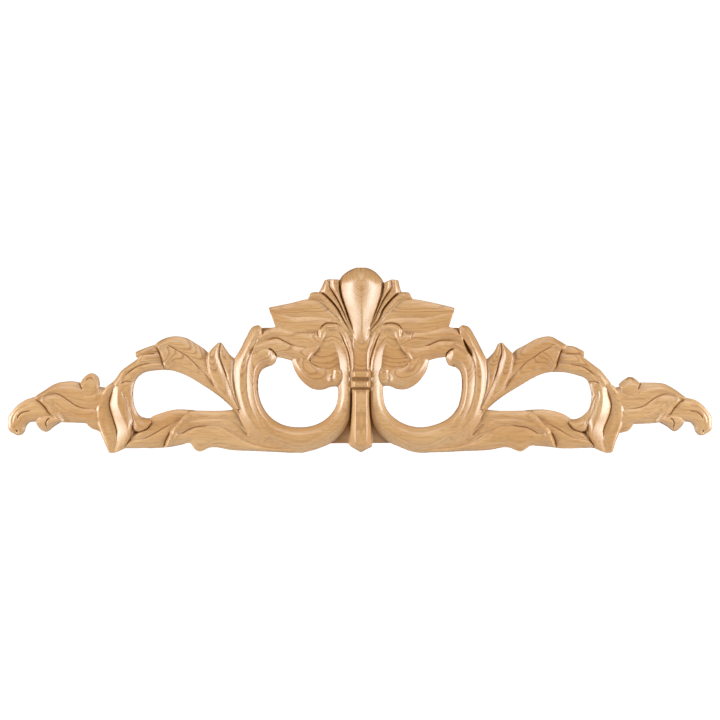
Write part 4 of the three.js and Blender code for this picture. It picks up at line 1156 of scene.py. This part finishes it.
class ONLAY_OT_carve(bpy.types.Operator):
    """Carve the shell onlay from its strips, veins and outline"""

    bl_idname = "onlay.carve"
    bl_label = "Carve the onlay"

    def execute(self, context):
        carving = context.scene.onlay_carving
        relief, height, depth_in, step = carved_relief(carving)
        lowest, highest = (np.array(list(corner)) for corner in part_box(NODE))
        mesh = onlay_mesh(relief, height, depth_in, step)
        onlay = bpy.data.objects.new(NODE + "_carved", mesh)
        context.scene.collection.objects.link(onlay)
        triangles = sum(len(face.vertices) - 2 for face in mesh.polygons)
        if triangles > carving.triangles:
            thinning = onlay.modifiers.new("thinning", "DECIMATE")
            thinning.ratio = carving.triangles / triangles
            thinned = bpy.data.meshes.new_from_object(onlay.evaluated_get(context.evaluated_depsgraph_get()))
            onlay.modifiers.clear()
            onlay.data = thinned
            bpy.data.meshes.remove(mesh)
            mesh = thinned
        places = np.zeros(3 * len(mesh.vertices), np.float32)
        mesh.vertices.foreach_get("co", places)
        # The outline stands out from the drawing, so points past the CAD model's box are moved back onto it
        places = np.clip(places.reshape(-1, 3), lowest + CLEARANCE, highest - CLEARANCE)
        places[:, 1] = np.minimum(places[:, 1], 0)
        mesh.vertices.foreach_set("co", places.astype(np.float32).ravel())
        self.shade_hollows(mesh, relief, height, depth_in, step, places)
        mesh.polygons.foreach_set("use_smooth", [True] * len(mesh.polygons))
        mesh.set_sharp_from_angle(angle=SHARP)
        mesh.materials.clear()
        mesh.materials.append(carved_wood(context.scene.onlay_wood))
        mesh.update()
        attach(onlay, "root")
        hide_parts(NODE)
        print("onlay:", len(mesh.polygons), "faces")
        return {"FINISHED"}

    @staticmethod
    def shade_hollows(mesh, relief, height, depth_in, step, places):
        """Stores how deep each point lies under its neighbourhood, from 0 to 1, as the mask where shade is
        painted into the wood's colour.
        """
        wood = np.clip(depth_in / 0.5 + 0.5, 0, 1)
        filled = height * wood
        painted_hollow_shade = np.zeros_like(height)
        for radius, share in ((0.6, 1.1), (2.0, 0.3)):
            around = blurred(filled, radius / step) / np.maximum(blurred(wood, radius / step), 1e-3)
            painted_hollow_shade += share * np.clip(around - height, 0, None)
        u = np.clip(np.rint((places[:, 0] / MM - relief.left) / step).astype(int), 0, height.shape[1] - 1)
        v = np.clip(np.rint((places[:, 2] / MM - relief.low) / step).astype(int), 0, height.shape[0] - 1)
        front = places[:, 1] < -1e-4
        values = np.clip(painted_hollow_shade[v, u], 0, 1) * front
        attribute = mesh.attributes.new("painted_hollow_shade", "FLOAT", "POINT")
        attribute.data.foreach_set("value", values.astype(np.float32))


class ONLAY_OT_stage(bpy.types.Operator):
    """Set the onlay before a pale sweep with soft lamps and a square-on camera"""

    bl_idname = "onlay.stage"
    bl_label = "Set the stage"

    def execute(self, context):
        stage = context.scene.onlay_stage
        self.sweep(context, stage)
        for *placing, share in SIDE_LAMPS:
            self.lamp(context, *placing, share * stage.side_power)
        self.lamp(context, *TOP_LAMP, stage.top_power)
        world = bpy.data.worlds.new("white_surround")
        world.use_nodes = True
        background = world.node_tree.nodes["Background"]
        background.inputs["Color"].default_value = (1, 1, 1, 1)
        background.inputs["Strength"].default_value = stage.surround
        context.scene.world = world
        context.scene.view_settings.view_transform = "Standard"
        camera = bpy.data.objects.new("camera", bpy.data.cameras.new("camera"))
        camera.data.sensor_width = SENSOR
        camera.data.lens = stage.lens
        camera.data.clip_end = FARTHEST
        away = stage.field * stage.lens / camera.data.sensor_width
        camera.location = (0, -away - 0.5 * DEPTH * MM, 0.5 * stage.field / PICTURE)
        camera.rotation_euler = (math.radians(90), 0, 0)
        context.scene.collection.objects.link(camera)
        context.scene.camera = camera
        return {"FINISHED"}

    @staticmethod
    def sweep(context, stage):
        """A floor that rises behind the onlay in one smooth sweep."""
        profile = [(SWEEP_FRONT, -stage.floor_drop)]
        for k in range(SWEEP_CUTS + 1):
            turn = math.radians(90 * k / SWEEP_CUTS)
            profile.append((SWEEP_BACK - SWEEP_RADIUS + SWEEP_RADIUS * math.sin(turn),
                            -stage.floor_drop + SWEEP_RADIUS * (1 - math.cos(turn))))
        profile.append((SWEEP_BACK, SWEEP_TOP))
        points = [(x, y, z) for y, z in profile for x in (-SWEEP_HALF_WIDTH, SWEEP_HALF_WIDTH)]
        faces = [(2 * k, 2 * k + 1, 2 * k + 3, 2 * k + 2) for k in range(len(profile) - 1)]
        mesh = bpy.data.meshes.new("sweep")
        mesh.from_pydata(points, [], faces)
        mesh.polygons.foreach_set("use_smooth", [True] * len(faces))
        mesh.materials.append(plain_sweep(SWEEP_GLOW, stage.floor_drop))
        floor = bpy.data.objects.new("sweep", mesh)
        context.scene.collection.objects.link(floor)

    @staticmethod
    def lamp(context, name, place, target, size, power):
        light = bpy.data.lights.new(name, "AREA")
        light.shape = "RECTANGLE"
        light.size, light.size_y = size
        light.energy = power
        lamp = bpy.data.objects.new(name, light)
        lamp.location = place
        lamp.rotation_mode = "QUATERNION"
        lamp.rotation_quaternion = (Vector(target) - Vector(place)).to_track_quat("-Z", "Y")
        context.scene.collection.objects.link(lamp)


class ONLAY_PT_panel(bpy.types.Panel):
    """Settings and steps of the shell onlay"""

    bl_idname = "ONLAY_PT_panel"
    bl_label = "Shell onlay"
    bl_space_type = "VIEW_3D"
    bl_region_type = "UI"
    bl_category = "Shell onlay"

    def draw(self, context):
        layout = self.layout
        for group in ("onlay_carving", "onlay_wood", "onlay_stage"):
            box = layout.box()
            settings = getattr(context.scene, group)
            for name in settings.__annotations__:
                box.prop(settings, name)
        layout.operator(ONLAY_OT_carve.bl_idname)
        layout.operator(ONLAY_OT_stage.bl_idname)


CLASSES = (OnlayCarving, OnlayWood, OnlayStage, ONLAY_OT_carve, ONLAY_OT_stage, ONLAY_PT_panel)


def register():
    for cls in CLASSES:
        bpy.utils.register_class(cls)
    bpy.types.Scene.onlay_carving = PointerProperty(type=OnlayCarving)
    bpy.types.Scene.onlay_wood = PointerProperty(type=OnlayWood)
    bpy.types.Scene.onlay_stage = PointerProperty(type=OnlayStage)


def unregister():
    del bpy.types.Scene.onlay_stage
    del bpy.types.Scene.onlay_wood
    del bpy.types.Scene.onlay_carving
    for cls in reversed(CLASSES):
        bpy.utils.unregister_class(cls)


def main():
    register()
    bpy.ops.onlay.carve()
    bpy.ops.onlay.stage()


if __name__ == "__main__":
    main()
